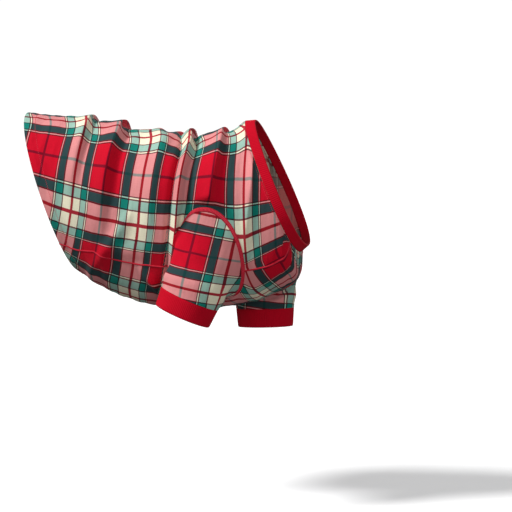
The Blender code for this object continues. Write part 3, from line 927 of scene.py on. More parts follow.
# %% Map the worn body to the cut cloth
COLUMN_PLACE = (-0.330, -0.276, -0.234, -0.199, -0.176, -0.158, -0.126, -0.090, -0.0625, -0.0405, -0.0155,
                -0.0140, -0.0040, 0.018, 0.0455, 0.080, 0.1005, 0.119, 0.148, 0.185, 0.240)
COLUMN_CLOTH = (-0.225, -0.171, -0.1296, -0.0882, -0.0648, -0.0415, 0.0, 0.0415, 0.0648, 0.0882, 0.1296,
                0.1765, 0.1944, 0.2178, 0.2592, 0.3007, 0.324, 0.3474, 0.3888, 0.430, 0.495)
ROW_TURN = (-0.030, 0.059, 0.130, 0.205, 0.335, 0.450, 0.520, 0.598, 0.668, 0.750, 0.783, 0.880, 1.000)
ROW_CLOTH = (-0.1166, -0.0882, -0.0648, -0.0415, 0.0, 0.0415, 0.0648, 0.0882, 0.1296, 0.1625, 0.171, 0.1944,
             0.2240)
NECK_PLACE = (0.03, 0.06, 0.08, 0.105, 0.125, 0.14, 0.155, 0.17, 0.185, 0.24)
NECK_DROP = (0.0, 0.012, 0.030, 0.050, 0.060, 0.080, 0.095, 0.110, 0.170, 0.25)
SIDE_ROWS = (-0.0829, -0.0415, 0.0, 0.0415, 0.0648, 0.0882, 0.1296, 0.1711)
SIDE_HEIGHT = (0.022, -0.020, -0.074, -0.121, -0.159, -0.195, -0.220, -0.246)
SIDE_RISE = (0.0, 0.0, 0.08, 0.20, 0.39, 0.50, 0.55, 0.60)
SIDE_START = 0.093
CHEST_PLACE = (0.134, 0.148, 0.159, 0.172, 0.186, 0.200)
CHEST_RED_TURN = (0.728, 0.733, 0.736, 0.747, 0.784, 0.820)
CHEST_GREEN_TURN = (0.847, 0.835, 0.822, 0.814, 0.822, 0.870)
print("the back's columns repeat", round((COLUMN_CLOTH[-1] - COLUMN_CLOTH[0]) / (2 * HALF_SETT), 1), "setts")

# %% Place the print on the back panel
SPINE_SWING, SPINE_WIDTH = 0.026, 0.125
LOW_SWING = 0.014
FRONT_SLOPE, LOW_FRONT_SLOPE, LOW_FRONT = 0.055, 0.165, 0.70
REAR_SPREAD, REAR_SPREAD_ABOVE = 0.22, 0.06
MIDDLE_ROW = 0.45


def neck_rows(points):
    """The rows beside the neck, which rise forwards in straight lines."""
    levels = [h + s * (points[:, 0] - SIDE_START) for h, s in zip(SIDE_HEIGHT, SIDE_RISE)]
    down = SIDE_ROWS[0] - (points[:, 2] - levels[0])
    for k in range(len(levels) - 1):
        share = (levels[k] - points[:, 2]) / (levels[k] - levels[k + 1])
        down = np.where(share > 0, SIDE_ROWS[k] + share * (SIDE_ROWS[k + 1] - SIDE_ROWS[k]), down)
    return down


def back_cloth(where, turn):
    """The place on the cut cloth of points of the back panel, along the body and down its side."""
    share = np.abs(turn) / math.pi
    points = bare_trunk(where, turn)
    place = fold_place(points, turn) * BACK_LENGTH
    swing = SPINE_SWING * np.exp(-((share / SPINE_WIDTH) ** 2))
    low = LOW_SWING * np.clip((share - 0.5) / 0.3, 0, 1) ** 1.3 * np.clip((0.06 - place) / 0.08, 0, 1)
    front = FRONT_SLOPE * (np.minimum(share, LOW_FRONT) - 0.40)
    front = front + LOW_FRONT_SLOPE * np.maximum(share - LOW_FRONT, 0)
    front = front * np.clip((place - 0.02) / 0.055, 0, 1)
    along = np.interp(place + swing + low - front, COLUMN_PLACE, COLUMN_CLOTH)
    rear = np.clip((-0.10 - place) / 0.10, 0, 1)
    spread = 1 + rear * np.where(share > MIDDLE_ROW, REAR_SPREAD, REAR_SPREAD_ABOVE)
    drop = np.interp(np.minimum(place, 0.10 + 0.25 * (share - 0.25)), NECK_PLACE, NECK_DROP)
    row = MIDDLE_ROW + (share - drop - MIDDLE_ROW) / spread
    down = np.interp(row, ROW_TURN, ROW_CLOTH)
    by_neck = np.clip((place - 0.088) / 0.027, 0, 1) * np.clip((share - 0.20) / 0.10, 0, 1)
    down += by_neck * (neck_rows(points) - down)
    spine = np.interp(0.0, ROW_TURN, ROW_CLOTH)
    return np.stack([along, np.where(turn < 0, down, 2 * spine - down)], axis=1)


middle_of_spine = back_cloth(np.array([0.5]), np.zeros(1))[0]
print("place on the cloth, half way along the spine:", np.round(middle_of_spine, 3).tolist())

# %% Place the print on the belly panel
CHEST_RED_ROW, CHEST_GREEN_ROW = 0.1296, 0.1711
# Where the chest turns up to the neck, its height counts as length: from where, from which turn and how much
CHEST_CLIMBS = ((0.72, 0.86, 0.35), (0.87, 0.74, 0.65))


def chest_rows(place, share):
    """The rows of the belly panel between the forelegs, where they close up towards the front."""
    red = np.interp(place, CHEST_PLACE, CHEST_RED_TURN)
    green = np.interp(place, CHEST_PLACE, CHEST_GREEN_TURN)
    above = CHEST_RED_ROW + (share - red) * 0.5
    between = CHEST_RED_ROW + (share - red) / (green - red) * 0.0415
    below = CHEST_GREEN_ROW + (share - green) * 0.45
    return np.where(share < red, above, np.where(share < green, between, below))


def belly_cloth(where, turn):
    """The place on the cut cloth of points of the belly panel."""
    share = np.abs(short_turn(turn)) / math.pi
    place = fold_place(bare_trunk(where, turn), math.pi * share) * BACK_LENGTH
    chest = np.clip((place - 0.10) / 0.03, 0, 1)
    nearer = 0.008 * chest * np.clip((0.175 - place) / 0.05, 0, 1)
    along = back_cloth(where, -math.pi * share)[:, 0] + nearer * 1.26
    for start, from_share, growth in CHEST_CLIMBS:
        climb = bare_trunk(where, turn)[:, 2] - bare_trunk(np.full_like(where, start), turn)[:, 2]
        along += growth * np.where(where > start, climb, 0.0) * np.clip((share - from_share) / 0.08, 0, 1)
    rows = np.interp(share, ROW_TURN, ROW_CLOTH)
    down = rows + chest * (chest_rows(place, share) - rows)
    middle = ROW_CLOTH[-1]
    return np.stack([along, np.where(short_turn(turn) < 0, down, 2 * middle - down)], axis=1)


print("rows of the chest:", CHEST_RED_ROW, "and", CHEST_GREEN_ROW)

# %% [markdown]
# ## The back and belly panels
#
# The back panel wraps the back and both sides down to the side seams, and the belly panel closes the tube
# below. Both are sheets of the same print, cut with holes for the sleeves, so one function makes them.


# %% Make the two panels
def cut_panel(name, outline, cloth_of):
    """Cloth cut to an outline of (where, turn), laid out flat, filled with points and worn."""
    edge_where, edge_turn = np.array(outline).T
    along = fold_place(bare_trunk(edge_where, edge_turn), short_turn(edge_turn)) * BACK_LENGTH
    flat_edge = np.stack([along, edge_turn / math.pi * HALF_GIRTH], axis=1)
    spots, faces = fill_outline(flat_edge)
    long_turn = spots[:, 1] / HALF_GIRTH * math.pi
    turn = short_turn(long_turn)
    where = where_on_fold_line(spots[:, 0] / BACK_LENGTH, turn)
    where[: len(outline)] = edge_where
    piece = cloth_object(name, folded_trunk(where, turn), faces, cloth_of(where, long_turn))
    middles = bare_trunk(np.linspace(0, 1, 9), np.full(9, math.pi / 2))
    spine = [Vector((float(m[0]), 0.0, float(m[2]))) for m in middles]
    face_outwards(piece, lambda p: min(spine, key=lambda m: abs(m.x - p.x)))
    return piece


def make_back_panel():
    """The upper cloth: over the back and down both sides to the side seams."""
    right, left = panel_edge(-1, True), panel_edge(1, True)
    hem = [(0.0, t) for t in np.linspace(left[0][1], right[0][1], 160)[1:-1]]
    neck = [(1.0, t) for t in np.linspace(right[-1][1], left[-1][1], 160)[1:-1]]
    return cut_panel("jersey_back", right + neck + left[::-1] + hem, back_cloth)


def make_belly_panel():
    """The lower cloth: from side seam to side seam, between the forelegs and up to the neck."""
    right = [(w, t + 2 * math.pi) for w, t in panel_edge(-1, False)]
    left = panel_edge(1, False)
    hem = [(0.0, t) for t in np.linspace(right[0][1], left[0][1], 60)[1:-1]]
    neck = [(1.0, t) for t in np.linspace(left[-1][1], right[-1][1], 30)[1:-1]]
    return cut_panel("jersey_belly", left + neck + right[::-1] + hem, belly_cloth)


back_panel = make_back_panel()
give_wall(back_panel, JERSEY_WALL, jersey, jersey_reverse)
belly_panel = make_belly_panel()
give_wall(belly_panel, JERSEY_WALL, jersey, jersey_reverse)

# %% [markdown]
# ## The sleeves
#
# A sleeve is a short tube that leaves its armhole and narrows to the cuff. A loft between two rings could be
# straight, but real sleeves leave the shoulder sideways and turn down, so the rings of points follow a smooth
# curve from each place of the armhole to its place on the cuff. The cloth blouses a little above the cuff,
# and at the rear of the right sleeve it sags back over its seam and hides it.


# %% Find the cuffs
def cuff_frame(sleeve):
    """The middle of the cuff's upper edge, the way down the foreleg and the way forward across it."""
    swing = math.radians(sleeve.swing)
    way = np.array([math.sin(swing), 0.0, -math.cos(swing)])
    forward = np.array([-way[2], 0.0, way[0]])
    place = sleeve.cuff_along * BACK_LENGTH, sleeve.side * LEG_SPREAD, sleeve.cuff_rise * CHEST_DEPTH
    return np.array(place), way, forward


def cuff_ring(sleeve, angle, down, scale):
    """A ring across the foreleg, angle 0 on the outside and a quarter turn in front."""
    middle, way, forward = cuff_frame(sleeve)
    sideways = np.array([0.0, float(sleeve.side), 0.0])
    return (
        middle
        + way * down
        + np.outer(np.sin(angle), forward) * CUFF_LENGTH / 2 * scale
        + np.outer(np.cos(angle), sideways) * CUFF_BREADTH / 2 * scale
    )


print("the right cuff's middle in mm:", np.round(1000 * cuff_frame(SLEEVES["right"])[0], 1).tolist())

# %% Shape the sleeves
TURNS_ROUND_SLEEVE = 132
SLEEVE_RINGS = 60
SLEEVE_FLARE, SLEEVE_FLARE_BELOW = 0.12, 0.45
SLEEVE_CURVE = 0.36
BLOUSE_PLACE, BLOUSE_WIDTH = 0.82, 0.12
SAG_PLACE, SAG_WIDTH = 0.13, 0.07
SLEEVE_WRINKLE = 0.0013


def tube_faces(rings, count):
    """Four-sided faces between rings of points that have the same count."""
    faces = []
    for ring in range(rings - 1):
        for i in range(count):
            j = (i + 1) % count
            here, there = ring * count, (ring + 1) * count
            faces.append((here + i, here + j, there + j, there + i))
    return faces


def sleeve_rings(sleeve, wrinkled=True):
    """Rings of points from the armhole to the cuff. At the rear the cloth sags back over the seam."""
    angle = np.linspace(0, 2 * math.pi, TURNS_ROUND_SLEEVE, endpoint=False)
    where, turn = armhole(sleeve, angle, SEAM_GAP / 2)
    start, normal = folded_trunk(where, turn), outward(where, turn)
    end = cuff_ring(sleeve, angle, -SEAM_GAP / 2, 1.0)
    _, way, _ = cuff_frame(sleeve)
    length = np.linalg.norm(end - start, axis=1, keepdims=True)
    underneath = (1 - np.cos(angle))[:, None] / 2
    leaving = (SLEEVE_FLARE + SLEEVE_FLARE_BELOW * underneath) * normal + way
    leaving /= np.linalg.norm(leaving, axis=1, keepdims=True)
    first = start + leaving * length * SLEEVE_CURVE
    second = end - way * length * SLEEVE_CURVE
    behind = np.clip(-2.4 * np.sin(angle) - 1.0, 0, 1)[:, None]
    sag = (0.6 * normal + (-0.8, 0, 0)) * SLEEVE_SAG * behind
    rings = []
    for share in np.linspace(0, 1, SLEEVE_RINGS + 1):
        back = 1 - share
        ring = back**3 * start + 3 * back**2 * share * first + 3 * back * share**2 * second + share**3 * end
        away = ring - ring.mean(axis=0)
        away /= np.linalg.norm(away, axis=1, keepdims=True)
        swell = SLEEVE_BLOUSE * math.exp(-(((share - BLOUSE_PLACE) / BLOUSE_WIDTH) ** 2))
        calm = min(1.0, share / 0.12, (1 - share) / 0.06)
        small = [noise.noise(Vector((p[0] / 0.016, p[1] / 0.016, p[2] / 0.030))) for p in ring.tolist()]
        small = SLEEVE_WRINKLE * wrinkled * calm * np.array(small)
        sagging = math.exp(-(((share - SAG_PLACE) / SAG_WIDTH) ** 2))
        rings.append(ring + away * (swell + small)[:, None] + sag * sagging)
    return rings


print("rings down a sleeve:", len(sleeve_rings(SLEEVES["right"])))


# %% Place the print on a sleeve
def sleeve_cloth(sleeve, rings, cut, tilt, middle_along, middle_down):
    """The place of a sleeve's points on the cut cloth, flat on the side that shows and then rolled round.

    The line where the cut's two edges meet has two places, and the second list gives those of its rear edge.
    """
    shown = 0 if sleeve.side < 0 else TURNS_ROUND_SLEEVE // 2
    middle, way, forward = cuff_frame(sleeve)
    count = TURNS_ROUND_SLEEVE
    before = (cut - shown) % count
    behind = count - before
    places, seam_places = [], []
    for number, ring in enumerate(rings):
        local = np.roll(ring, -shown, axis=0) - middle
        front, side, down = local @ forward, local[:, 1], local @ way
        # So many points each way are laid as they are seen from the side
        flat_reach = count / 2 * (0.32 if shown else 0.61 - 0.33 * number / (len(rings) - 1))
        around = np.zeros(count + 1)
        for sign, far in ((1, before), (-1, behind)):
            order = np.arange(0, sign * (far + 1), sign) % count
            rolled = -sleeve.side * sign * np.hypot(np.diff(front[order]), np.diff(side[order]))
            steps = np.where(np.arange(far) < flat_reach, np.diff(front[order]), rolled)
            reached = front[0] + np.concatenate([[0], np.cumsum(steps)])
            if sign > 0:
                around[: far + 1] = reached
            else:
                around[order[1:-1]] = reached[1:-1]
                around[count] = reached[-1]
        down = np.append(down, down[before])
        along = around * math.cos(tilt) + down * math.sin(tilt) + middle_along
        both = np.stack([along, down * math.cos(tilt) - around * math.sin(tilt) + middle_down], axis=1)
        places.append(np.roll(both[:-1], shown, axis=0))
        seam_places.append(both[-1])
    return np.concatenate(places), np.array(seam_places)


print("points round a sleeve:", TURNS_ROUND_SLEEVE)

# %% Make the sleeves
SLEEVE_SEEN_ALONG = (-0.120, -0.030, 0.0070, 0.0430, 0.0675, 0.160)
SLEEVE_ALONG = (-0.116, -0.029, 0.0, 0.0415, 0.0648, 0.157)
SLEEVE_SEEN_DOWN = (-0.087, -0.0455, -0.0056, 0.0270, 0.0505, 0.120)
SLEEVE_DOWN = (-0.083, -0.0415, 0.0, 0.0415, 0.0648, 0.134)


def make_sleeve(name, sleeve, cut, tilt, middle_along, middle_down):
    """A sleeve as a sheet, with its print. The right one is a little stretched over the shoulder."""
    rings = sleeve_rings(sleeve)
    smooth = sleeve_rings(sleeve, False)
    places, seam_places = sleeve_cloth(sleeve, smooth, cut, tilt, middle_along, middle_down)
    if sleeve.side < 0:
        for found in (places, seam_places):
            found[:, 0] = np.interp(found[:, 0], SLEEVE_SEEN_ALONG, SLEEVE_ALONG)
            found[:, 1] = np.interp(found[:, 1], SLEEVE_SEEN_DOWN, SLEEVE_DOWN)
    piece = cloth_object(name, np.concatenate(rings), tube_faces(len(rings), TURNS_ROUND_SLEEVE), places)
    layer = piece.data.uv_layers[CLOTH_MAP]
    for ring in range(len(rings) - 1):
        corners = piece.data.polygons[ring * TURNS_ROUND_SLEEVE + cut].loop_indices
        layer.data[corners[0]].uv = seam_places[ring]
        layer.data[corners[3]].uv = seam_places[ring + 1]
    middles = [Vector(r.mean(axis=0)) for r in rings]
    face_outwards(piece, lambda p: min(middles, key=lambda m: (m - p).length))
    return piece


sleeve_right = make_sleeve("jersey_sleeve_right", SLEEVES["right"], 90, math.radians(-11), 0.016, 0.068)
give_wall(sleeve_right, JERSEY_WALL, jersey, jersey_reverse)
sleeve_left = make_sleeve("jersey_sleeve_left", SLEEVES["left"], 100, math.radians(9), -0.0046, 0.0968)
give_wall(sleeve_left, JERSEY_WALL, jersey, jersey_reverse)

# %% [markdown]
# ## The ribbed bands
#
# Cuffs and neck band are a thicker rib knit in plain red: fine ridges that run across the band and let it
# stretch. The ridges are real relief here, because they show on the band's edge. They repeat, so a small
# Geometry Nodes tree presses the grooves into a smooth band, and the same tree serves all three bands.


# %% Dye the rib red
def make_rib_material():
    """Matt red cotton with the small stitches of a rib knit."""
    material, shader, paint = new_material("red_rib", 0.9)
    place, along, down = places_on_cloth(paint)
    cloudy = place.noise(30.0, 3.0)
    colour = paint.mix(cloudy, screen_colour(186, 0, 28), screen_colour(208, 4, 38))
    knit = knit_height(paint, along, down)
    bump = paint.node("ShaderNodeBump", {"Height": knit, "Strength": 0.2, "Distance": KNIT_HEIGHT})
    link_looks(material, shader, colour, 0.85 + cloudy * 0.1, bump)
    shader.inputs["Sheen Weight"].default_value = 0.03
    shader.inputs["Specular IOR Level"].default_value = 0.12
    return material


rib = make_rib_material()
print("nodes in the rib's material:", len(rib.node_tree.nodes))


# %% Start, end and apply a Geometry Nodes tree
def start_tree(name, inputs):
    """A Geometry Nodes tree with named inputs, each with its kind and usual value, and a wire from each."""
    tree = bpy.data.node_groups.new(name, "GeometryNodeTree")
    for label, kind, usual in inputs:
        made = tree.interface.new_socket(label, in_out="INPUT", socket_type="NodeSocket" + kind)
        if usual:
            made.default_value = usual
    tree.interface.new_socket("Geometry", in_out="OUTPUT", socket_type="NodeSocketGeometry")
    start = Wire(tree).node("NodeGroupInput").socket.node
    return tree, [Wire(tree, start.outputs[i]) for i in range(len(inputs))]


def end_tree(tree, shaped, material):
    """Ends a tree: instances become real, because an export drops them, and get their material."""
    real = shaped.node("GeometryNodeRealizeInstances", {"Geometry": shaped})
    finished = shaped.node("GeometryNodeSetMaterial", {"Geometry": real, "Material": material})
    tree.links.new(finished.socket, tree.nodes.new("NodeGroupOutput").inputs[0])
    return tree


def apply_tree(piece, tree, given):
    """Runs a Geometry Nodes tree on a piece with its named inputs, and keeps the result as a plain mesh."""
    nodes = piece.modifiers.new("nodes", "NODES")
    nodes.node_group = tree
    for item in tree.interface.items_tree:
        if item.in_out == "INPUT" and item.name in given:
            nodes[item.identifier] = given[item.name]
    keep_result(piece)


print("a piece can now take any Geometry Nodes tree with named inputs")

# %% Press the ribs with Geometry Nodes
RIB_RELIEF = 0.0004


def make_rib_tree():
    """Ridges across a band: its outer face sinks between the ribs, which the attribute rib counts."""
    inputs = (("Geometry", "Geometry", None), ("Relief", "Float", RIB_RELIEF), ("Knit", "Material", None))
    tree, (band, relief, knit) = start_tree("rib_relief", inputs)
    count = band.node("GeometryNodeInputNamedAttribute", {"Name": "rib"}, data_type="FLOAT")
    outer = band.node("GeometryNodeInputNamedAttribute", {"Name": "outer"}, data_type="FLOAT")
    wave = band.maths("COSINE", count * (2 * math.pi)) * 0.5 + 0.5
    normal = band.node("GeometryNodeInputNormal")
    depth = relief * wave * outer * -1.0
    inwards = band.node("ShaderNodeVectorMath", {0: normal, 3: depth}, operation="SCALE")
    shaped = band.node("GeometryNodeSetPosition", {"Geometry": band, "Offset": inwards})
    return end_tree(tree, shaped, knit)


rib_tree = make_rib_tree()
print("nodes in the rib tree:", len(rib_tree.nodes))

# %% Build a ribbed band
RIB_PITCH = 0.0026
POINTS_PER_RIB = 6
BAND_ROWS = 14
EDGE_ROUNDING, EDGE_SHARE = 0.0005, 0.08


def band_from_rings(name, ring_at, length):
    """A ribbed band with its wall. ring_at(share) gives the rings from its first edge to its last."""
    shares = np.linspace(0, 1, BAND_ROWS)
    outer, inner = [], []
    for share in shares:
        ring = ring_at(share)
        middle = ring.mean(axis=0)
        away = (ring - middle) / np.linalg.norm(ring - middle, axis=1, keepdims=True)
        rounding = EDGE_ROUNDING * (1 - min(1.0, share / EDGE_SHARE, (1 - share) / EDGE_SHARE))
        outer.append(ring - away * rounding)
        inner.append(ring - away * (RIB_WALL - rounding))
    count = len(outer[0])
    steps = np.linalg.norm(np.roll(outer[0], -1, axis=0) - outer[0], axis=1)
    arc = np.concatenate([[0], np.cumsum(steps)])[:-1]
    rings = outer + inner[::-1]
    downs = [*(shares * length), *(shares[::-1] * length)]
    places = np.concatenate([np.stack([arc, np.full(count, down)], axis=1) for down in downs])
    faces = tube_faces(len(rings), count)
    last = (len(rings) - 1) * count
    faces += [(last + i, last + (i + 1) % count, (i + 1) % count, i) for i in range(count)]
    piece = cloth_object(name, np.concatenate(rings), faces, places)
    face_shell_outwards(piece.data)
    ribs = np.tile(np.arange(count) / POINTS_PER_RIB, len(rings))
    on_face = np.repeat([1.0] * BAND_ROWS + [0.0] * BAND_ROWS, count)
    for label, values in (("rib", ribs), ("outer", on_face)):
        stored = piece.data.attributes.new(label, "FLOAT", "POINT")
        stored.data.foreach_set("value", values.astype(np.float32))
    piece.data.materials.append(rib)
    apply_tree(piece, rib_tree, {"Relief": RIB_RELIEF, "Knit": rib})
    print(name, "faces:", len(piece.data.polygons))
    return piece


print("rib in mm:", 1000 * RIB_PITCH, "wide and", 1000 * RIB_RELIEF, "deep")

# %% Make the cuffs and the neck band
CUFF_OVERLAP = 0.0003
NECK_START = 0.0002
NECK_RIBS = 220


def make_cuff(name, sleeve):
    """The ribbed band round the foreleg."""
    count = POINTS_PER_RIB * round(math.pi * (CUFF_LENGTH + CUFF_BREADTH) / 2 / RIB_PITCH)
    angle = np.linspace(0, 2 * math.pi, count, endpoint=False)

    def ring_at(share):
        down = -CUFF_OVERLAP + share * (CUFF_HEIGHT + CUFF_OVERLAP)
        return cuff_ring(sleeve, angle, down, 1 - (1 - CUFF_TAPER) * share)

    return band_from_rings(name, ring_at, CUFF_HEIGHT)


def make_neck_band():
    """The ribbed band round the neck, on from the trunk's neck seam."""
    turn = np.linspace(-math.pi, math.pi, POINTS_PER_RIB * NECK_RIBS, endpoint=False)
    edge = bare_trunk(np.ones_like(turn), turn)
    top, bottom = edge[len(edge) // 2], edge[0]
    slope = (top - bottom) / np.linalg.norm(top - bottom)
    forward = np.array([slope[2], 0.0, -slope[0]])
    middle = edge.mean(axis=0)

    def ring_at(share):
        scale = 1 - (1 - NECK_BAND_TAPER) * share
        ahead = NECK_START + share * (NECK_SEAM_GAP - NECK_START + NECK_BAND_WIDTH)
        return middle + (edge - middle) * scale + forward * ahead

    return band_from_rings("rib_neck_band", ring_at, NECK_BAND_WIDTH)


cuff_right = make_cuff("rib_cuff_right", SLEEVES["right"])
cuff_left = make_cuff("rib_cuff_left", SLEEVES["left"])
neck_band = make_neck_band()

# %% [markdown]
# ## Seams and stitches
#
# The sleeves are sewn in with a flatlock: the cloth's edges lie side by side under a low ladder of red
# thread. The side seams are the same, but narrower, and the hem and the neck have a row of small running
# stitches. A seam's body is a low dome swept along the edge. The stitches repeat along a path, which is work
# for Geometry Nodes: one tree sets short rounded threads along any line, and only its inputs change from
# seam to seam.


# %% Make the threads
def make_thread(name, dark, light):
    """Twisted thread: a little uneven in colour, with a fine twist that bends the light."""
    material, shader, paint = new_material(name, 0.8)
    place = paint.node("ShaderNodeTexCoord", output=3)
    uneven = place.noise(420.0, 2.0)
    twist = place.noise(2600.0, 1.0)
    colour = paint.mix(uneven, screen_colour(*dark), screen_colour(*light))
    bump = paint.node("ShaderNodeBump", {"Height": twist, "Strength": 0.3, "Distance": 0.0002})
    link_looks(material, shader, colour, 0.72 + uneven * 0.16, bump)
    shader.inputs["Specular IOR Level"].default_value = 0.3
    return material


red_thread = make_thread("red_thread", (216, 18, 50), (240, 84, 104))
seam_body = make_thread("red_seam_body", (186, 4, 34), (218, 26, 56))
print("threads:", red_thread.name, seam_body.name)


# %% Build the tree that sets stitches
def make_stitch_tree():
    """Short rounded threads along a line, lying along its attribute way and facing its attribute out."""
    inputs = (
        ("Geometry", "Geometry", None),
        ("Spacing", "Float", 0.0015),
        ("Length", "Float", 0.003),
        ("Thickness", "Float", 0.0008),
        ("Uneven", "Float", 0.1),
        ("Thread", "Material", None),
    )
    tree, (path, spacing, length, thickness, uneven, thread) = start_tree("stitch_row", inputs)
    line = path.node("GeometryNodeMeshToCurve", {"Mesh": path})
    points = line.node("GeometryNodeCurveToPoints", {"Curve": line, "Length": spacing}, mode="LENGTH")
    way = line.node("GeometryNodeInputNamedAttribute", {"Name": "way"}, data_type="FLOAT_VECTOR")
    out = line.node("GeometryNodeInputNamedAttribute", {"Name": "out"}, data_type="FLOAT_VECTOR")
    along = line.node("FunctionNodeAlignRotationToVector", {"Vector": way}, axis="X")
    values = {"Rotation": along, "Vector": out}
    facing = line.node("FunctionNodeAlignRotationToVector", values, axis="Z", pivot_axis="X")
    values = {2: 1 - uneven, 3: 1 + uneven, "Seed": 7}
    chance = line.node("FunctionNodeRandomValue", values, output=1, data_type="FLOAT")
    size = line.node("ShaderNodeCombineXYZ", {0: length * chance, 1: thickness, 2: thickness})
    bead = line.node("GeometryNodeMeshUVSphere", {"Segments": 6, "Rings": 6, "Radius": 0.5})
    values = {"Points": points, "Instance": bead, "Rotation": facing, "Scale": size}
    placed = line.node("GeometryNodeInstanceOnPoints", values)
    return end_tree(tree, placed, thread)


stitch_tree = make_stitch_tree()
print("nodes in the stitch tree:", len(stitch_tree.nodes))

# %% Set a row of stitches
FACES_PER_STITCH = 36
Line = namedtuple("Line", "points across out closed")
Stitch = namedtuple("Stitch", "crosswise spacing length thickness lift")


def stitch_line(name, line, stitch):
    """A row of stitches along a line, each across it or along it."""
    count = len(line.points)
    edges = [(i, (i + 1) % count) for i in range(count if line.closed else count - 1)]
    piece = new_object(name, (line.points + line.out * stitch.lift).tolist(), edges, [])
    tangent = np.cross(line.across, line.out)
    for label, vectors in (("way", line.across if stitch.crosswise else tangent), ("out", line.out)):
        stored = piece.data.attributes.new(label, "FLOAT_VECTOR", "POINT")
        stored.data.foreach_set("vector", vectors.astype(np.float32).ravel())
    given = {"Spacing": stitch.spacing, "Length": stitch.length, "Thickness": stitch.thickness}
    apply_tree(piece, stitch_tree, {**given, "Thread": red_thread})
    print(name, "stitches:", len(piece.data.polygons) // FACES_PER_STITCH)
    return piece


print("a stitch is a bead of", FACES_PER_STITCH, "faces")

# %% Lay the body of a seam
TAPE_ROUNDNESS = 0.6
TAPE_EDGE_DEPTH = 0.0004
TAPE_UNDERSIDE = 0.0006


def seam_tape(name, line, height, left, right):
    """The low dome of a flatlock seam, as a closed tube that rests in the cloth on both sides."""

    def row(share, rise):
        """Points at a share of the way from the middle, at 0, to the right edge, at 1, or the left, at -1."""
        middle = line.points * (1 - share * share)
        return middle + right * (share * (share + 1) / 2) + left * (share * (share - 1) / 2) + line.out * rise

    spread = np.linspace(-1, 1, 9)
    rows = [row(s, height * (1 - s * s) ** TAPE_ROUNDNESS - TAPE_EDGE_DEPTH * s**4) for s in spread]
    rows += [row(s, -TAPE_UNDERSIDE) for s in spread[::-2][1:-1]]
    across, count = len(rows), len(line.points)
    vertices = np.stack(rows, axis=1).reshape(-1, 3)
    faces = []
    for i in range(count if line.closed else count - 1):
        j = (i + 1) % count
        here, there = i * across, j * across
        for k in range(across):
            after = (k + 1) % across
            faces.append((here + k, here + after, there + after, there + k))
    if not line.closed:
        faces += [tuple(range(across)), tuple(range((count - 1) * across, count * across))]
    piece = new_object(name, vertices.tolist(), [], faces)
    face_shell_outwards(piece.data)
    piece.data.materials.append(seam_body)
    piece.data.shade_smooth()
    return piece


print("a seam's body reaches so far into the cloth, in mm:", 1000 * TAPE_UNDERSIDE)


# %% Find the ways across and out of a seam
def seam_line(left, middle, right, away, closed):
    """A line along a seam with the direction across it and the direction out of the cloth."""
    across = right - left
    across /= np.linalg.norm(across, axis=1, keepdims=True)
    if closed:
        run = np.roll(middle, -1, axis=0) - np.roll(middle, 1, axis=0)
    else:
        run = np.gradient(middle, axis=0)
    out = np.cross(run, across)
    out /= np.linalg.norm(out, axis=1, keepdims=True)
    out *= np.where(np.sum(out * away, axis=1, keepdims=True) < 0, -1, 1)
    return Line(middle, across, out, closed)


def sew_flatlock(name, line, height, left, right, stitch):
    """A seam's dome and its ladder of stitches."""
    return [seam_tape(name + "_tape", line, height, left, right), stitch_line(name + "_ladder", line, stitch)]


print("each flatlock seam has two pieces: its body and its ladder of stitches")

# %% Sew the sleeves in
ARMHOLE_SEAM = 0.0082
ARMHOLE_TAPE = 0.0010
ARMHOLE_STITCH = Stitch(True, 0.0021, 0.0072, 0.0011, 0.0009)
SEAM_SHIFT, SEAM_SHIFT_BEHIND = 0.0012, 0.0022


def sew_armhole(name, sleeve):
    """The flatlock seam round one armhole: its dome and its ladder of stitches."""
    angle = np.linspace(0, 2 * math.pi, TURNS_ROUND_SLEEVE, endpoint=False)
    half = ARMHOLE_SEAM / 2
    shift = SEAM_SHIFT - SEAM_SHIFT_BEHIND * np.sin(angle)
    where, turn = armhole(sleeve, angle, shift - half)
    on_trunk, normal = folded_trunk(where, turn), outward(where, turn)
    rings = np.stack(sleeve_rings(sleeve)[:12])
    steps = np.linalg.norm(np.diff(rings, axis=0), axis=2)
    arc = np.concatenate([np.zeros((1, len(angle))), np.cumsum(steps, axis=0)])

    def on_cloth(inset):
        """Points at distances from the armhole: on the sleeve, or on the trunk where one is below zero."""
        around = range(len(angle))
        on_sleeve = [[np.interp(inset[i], arc[:, i], rings[:, i, k]) for k in range(3)] for i in around]
        return np.where((inset > 0)[:, None], on_sleeve, folded_trunk(*armhole(sleeve, angle, inset)))

    middle, inner = on_cloth(shift), on_cloth(half + shift)
    line = seam_line(on_trunk, middle, inner, normal, True)
    return sew_flatlock(name, line, ARMHOLE_TAPE, on_trunk, inner, ARMHOLE_STITCH)


seam_right = sew_armhole("armhole_right", SLEEVES["right"])
seam_left = sew_armhole("armhole_left", SLEEVES["left"])

# %% Sew the side seams
SIDE_SEAM = 0.0034
SIDE_TAPE = 0.0007
SIDE_STITCH = Stitch(True, 0.0016, 0.0030, 0.0007, 0.0006)


def along_side_seam(where, distance):
    """Points beside the middle of the side seam, above it for a negative distance, on the right side."""
    turn = seam_turn(where)
    around = (bare_trunk(where, turn + SMALL_STEP) - bare_trunk(where, turn)) / SMALL_STEP
    return turn + distance / np.linalg.norm(around, axis=-1)


def sew_side(name, side, start, end, count):
    """One stretch of a side seam between two shares of the way from hem to neck."""
    where = np.linspace(start, end, count)
    turns = [side * along_side_seam(where, d) for d in (-SIDE_SEAM / 2, 0.0, SIDE_SEAM / 2)]
    left, middle, right = [folded_trunk(where, t) for t in turns]
    line = seam_line(left, middle, right, outward(where, turns[1]), False)
    return sew_flatlock(name, line, SIDE_TAPE, left, right, SIDE_STITCH)


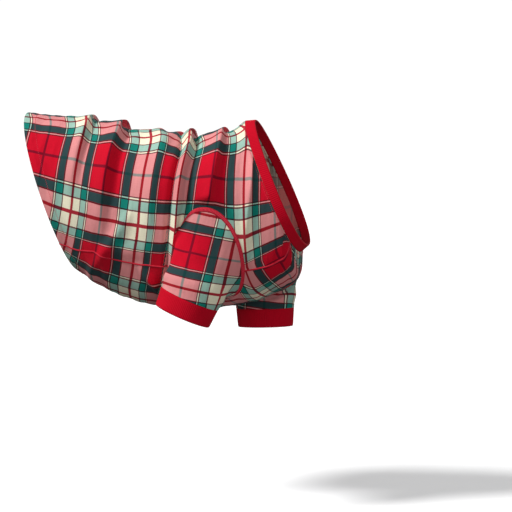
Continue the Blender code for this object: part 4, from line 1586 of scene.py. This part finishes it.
side_seams = []
for label, side in (("right", -1), ("left", 1)):
    rear_end, front_end = armhole_ends(SLEEVES[label])
    side_seams += sew_side("side_seam_rear_" + label, side, 0.001, rear_end, 110)
    side_seams += sew_side("side_seam_front_" + label, side, front_end, 0.999, 40)

# %% Stitch the hem and the neck
HEM_STITCH = Stitch(False, 0.0034, 0.0026, 0.0007, 0.0001)
NECK_STITCH = Stitch(False, 0.0030, 0.0022, 0.0007, 0.0001)
HEM_STITCH_PLACE = HEM_WIDTH - 0.0025
NECK_STITCH_PLACE = 0.0024


def sew_round(name, where_at, count, stitch):
    """A row of running stitches round the trunk. where_at(turn) is its share of the way from hem to neck."""
    turn = np.linspace(-math.pi, math.pi, count, endpoint=False)
    where = where_at(turn)
    middle = folded_trunk(where, turn)
    ahead = folded_trunk(where + 0.002, turn)
    line = seam_line(middle * 2 - ahead, middle, ahead, outward(where, turn), True)
    return stitch_line(name, line, stitch)


def distance_along(turn, start, distance):
    """The share from hem to neck that lies a distance from a start share, for each turn."""
    step = 0.01
    here = bare_trunk(np.full_like(turn, start), turn)
    there = bare_trunk(np.full_like(turn, start + step), turn)
    return start + distance * step / np.linalg.norm(there - here, axis=1)


def beside_hem(turn):
    """The row near the inner edge of the hem."""
    return distance_along(turn, 0.0, HEM_STITCH_PLACE)


def beside_neck(turn):
    """The row just behind the neck seam, which counts its distance back from 1."""
    return 2 - distance_along(turn, 1.0, NECK_STITCH_PLACE)


hem_stitches = sew_round("hem_stitches", beside_hem, 420, HEM_STITCH)
neck_stitches = sew_round("neck_stitches", beside_neck, 360, NECK_STITCH)

# %% [markdown]
# ## Putting the pieces on the frame
#
# Every piece rides on the one body and stands for its solid.

HAND_IN = (
    (back_panel, "back_panel", "plaid_jersey", (0.50, 0.56), 0.202),
    (belly_panel, "belly_panel", "plaid_jersey", (0.40, 0.26), 0.0765),
    (sleeve_right, "sleeve_right", "plaid_jersey", (0.34, 0.12), 0.023),
    (sleeve_left, "sleeve_left", "plaid_jersey", (0.34, 0.14), 0.032),
    (cuff_right, "cuff_right", "red_rib", (0.27, 0.031), None),
    (cuff_left, "cuff_left", "red_rib", (0.27, 0.031), None),
    (neck_band, "neck_band", "red_rib", (0.68, 0.0157), None),
)
for piece, node, finish, flat, area in HAND_IN:
    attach(piece, "root")
    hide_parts(node)
SEWN = [*seam_right, *seam_left, *side_seams, hem_stitches, neck_stitches]
for piece in SEWN:
    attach(piece, "root")
print("sheets and bands:", len(HAND_IN), "seams and rows of stitches:", len(SEWN))
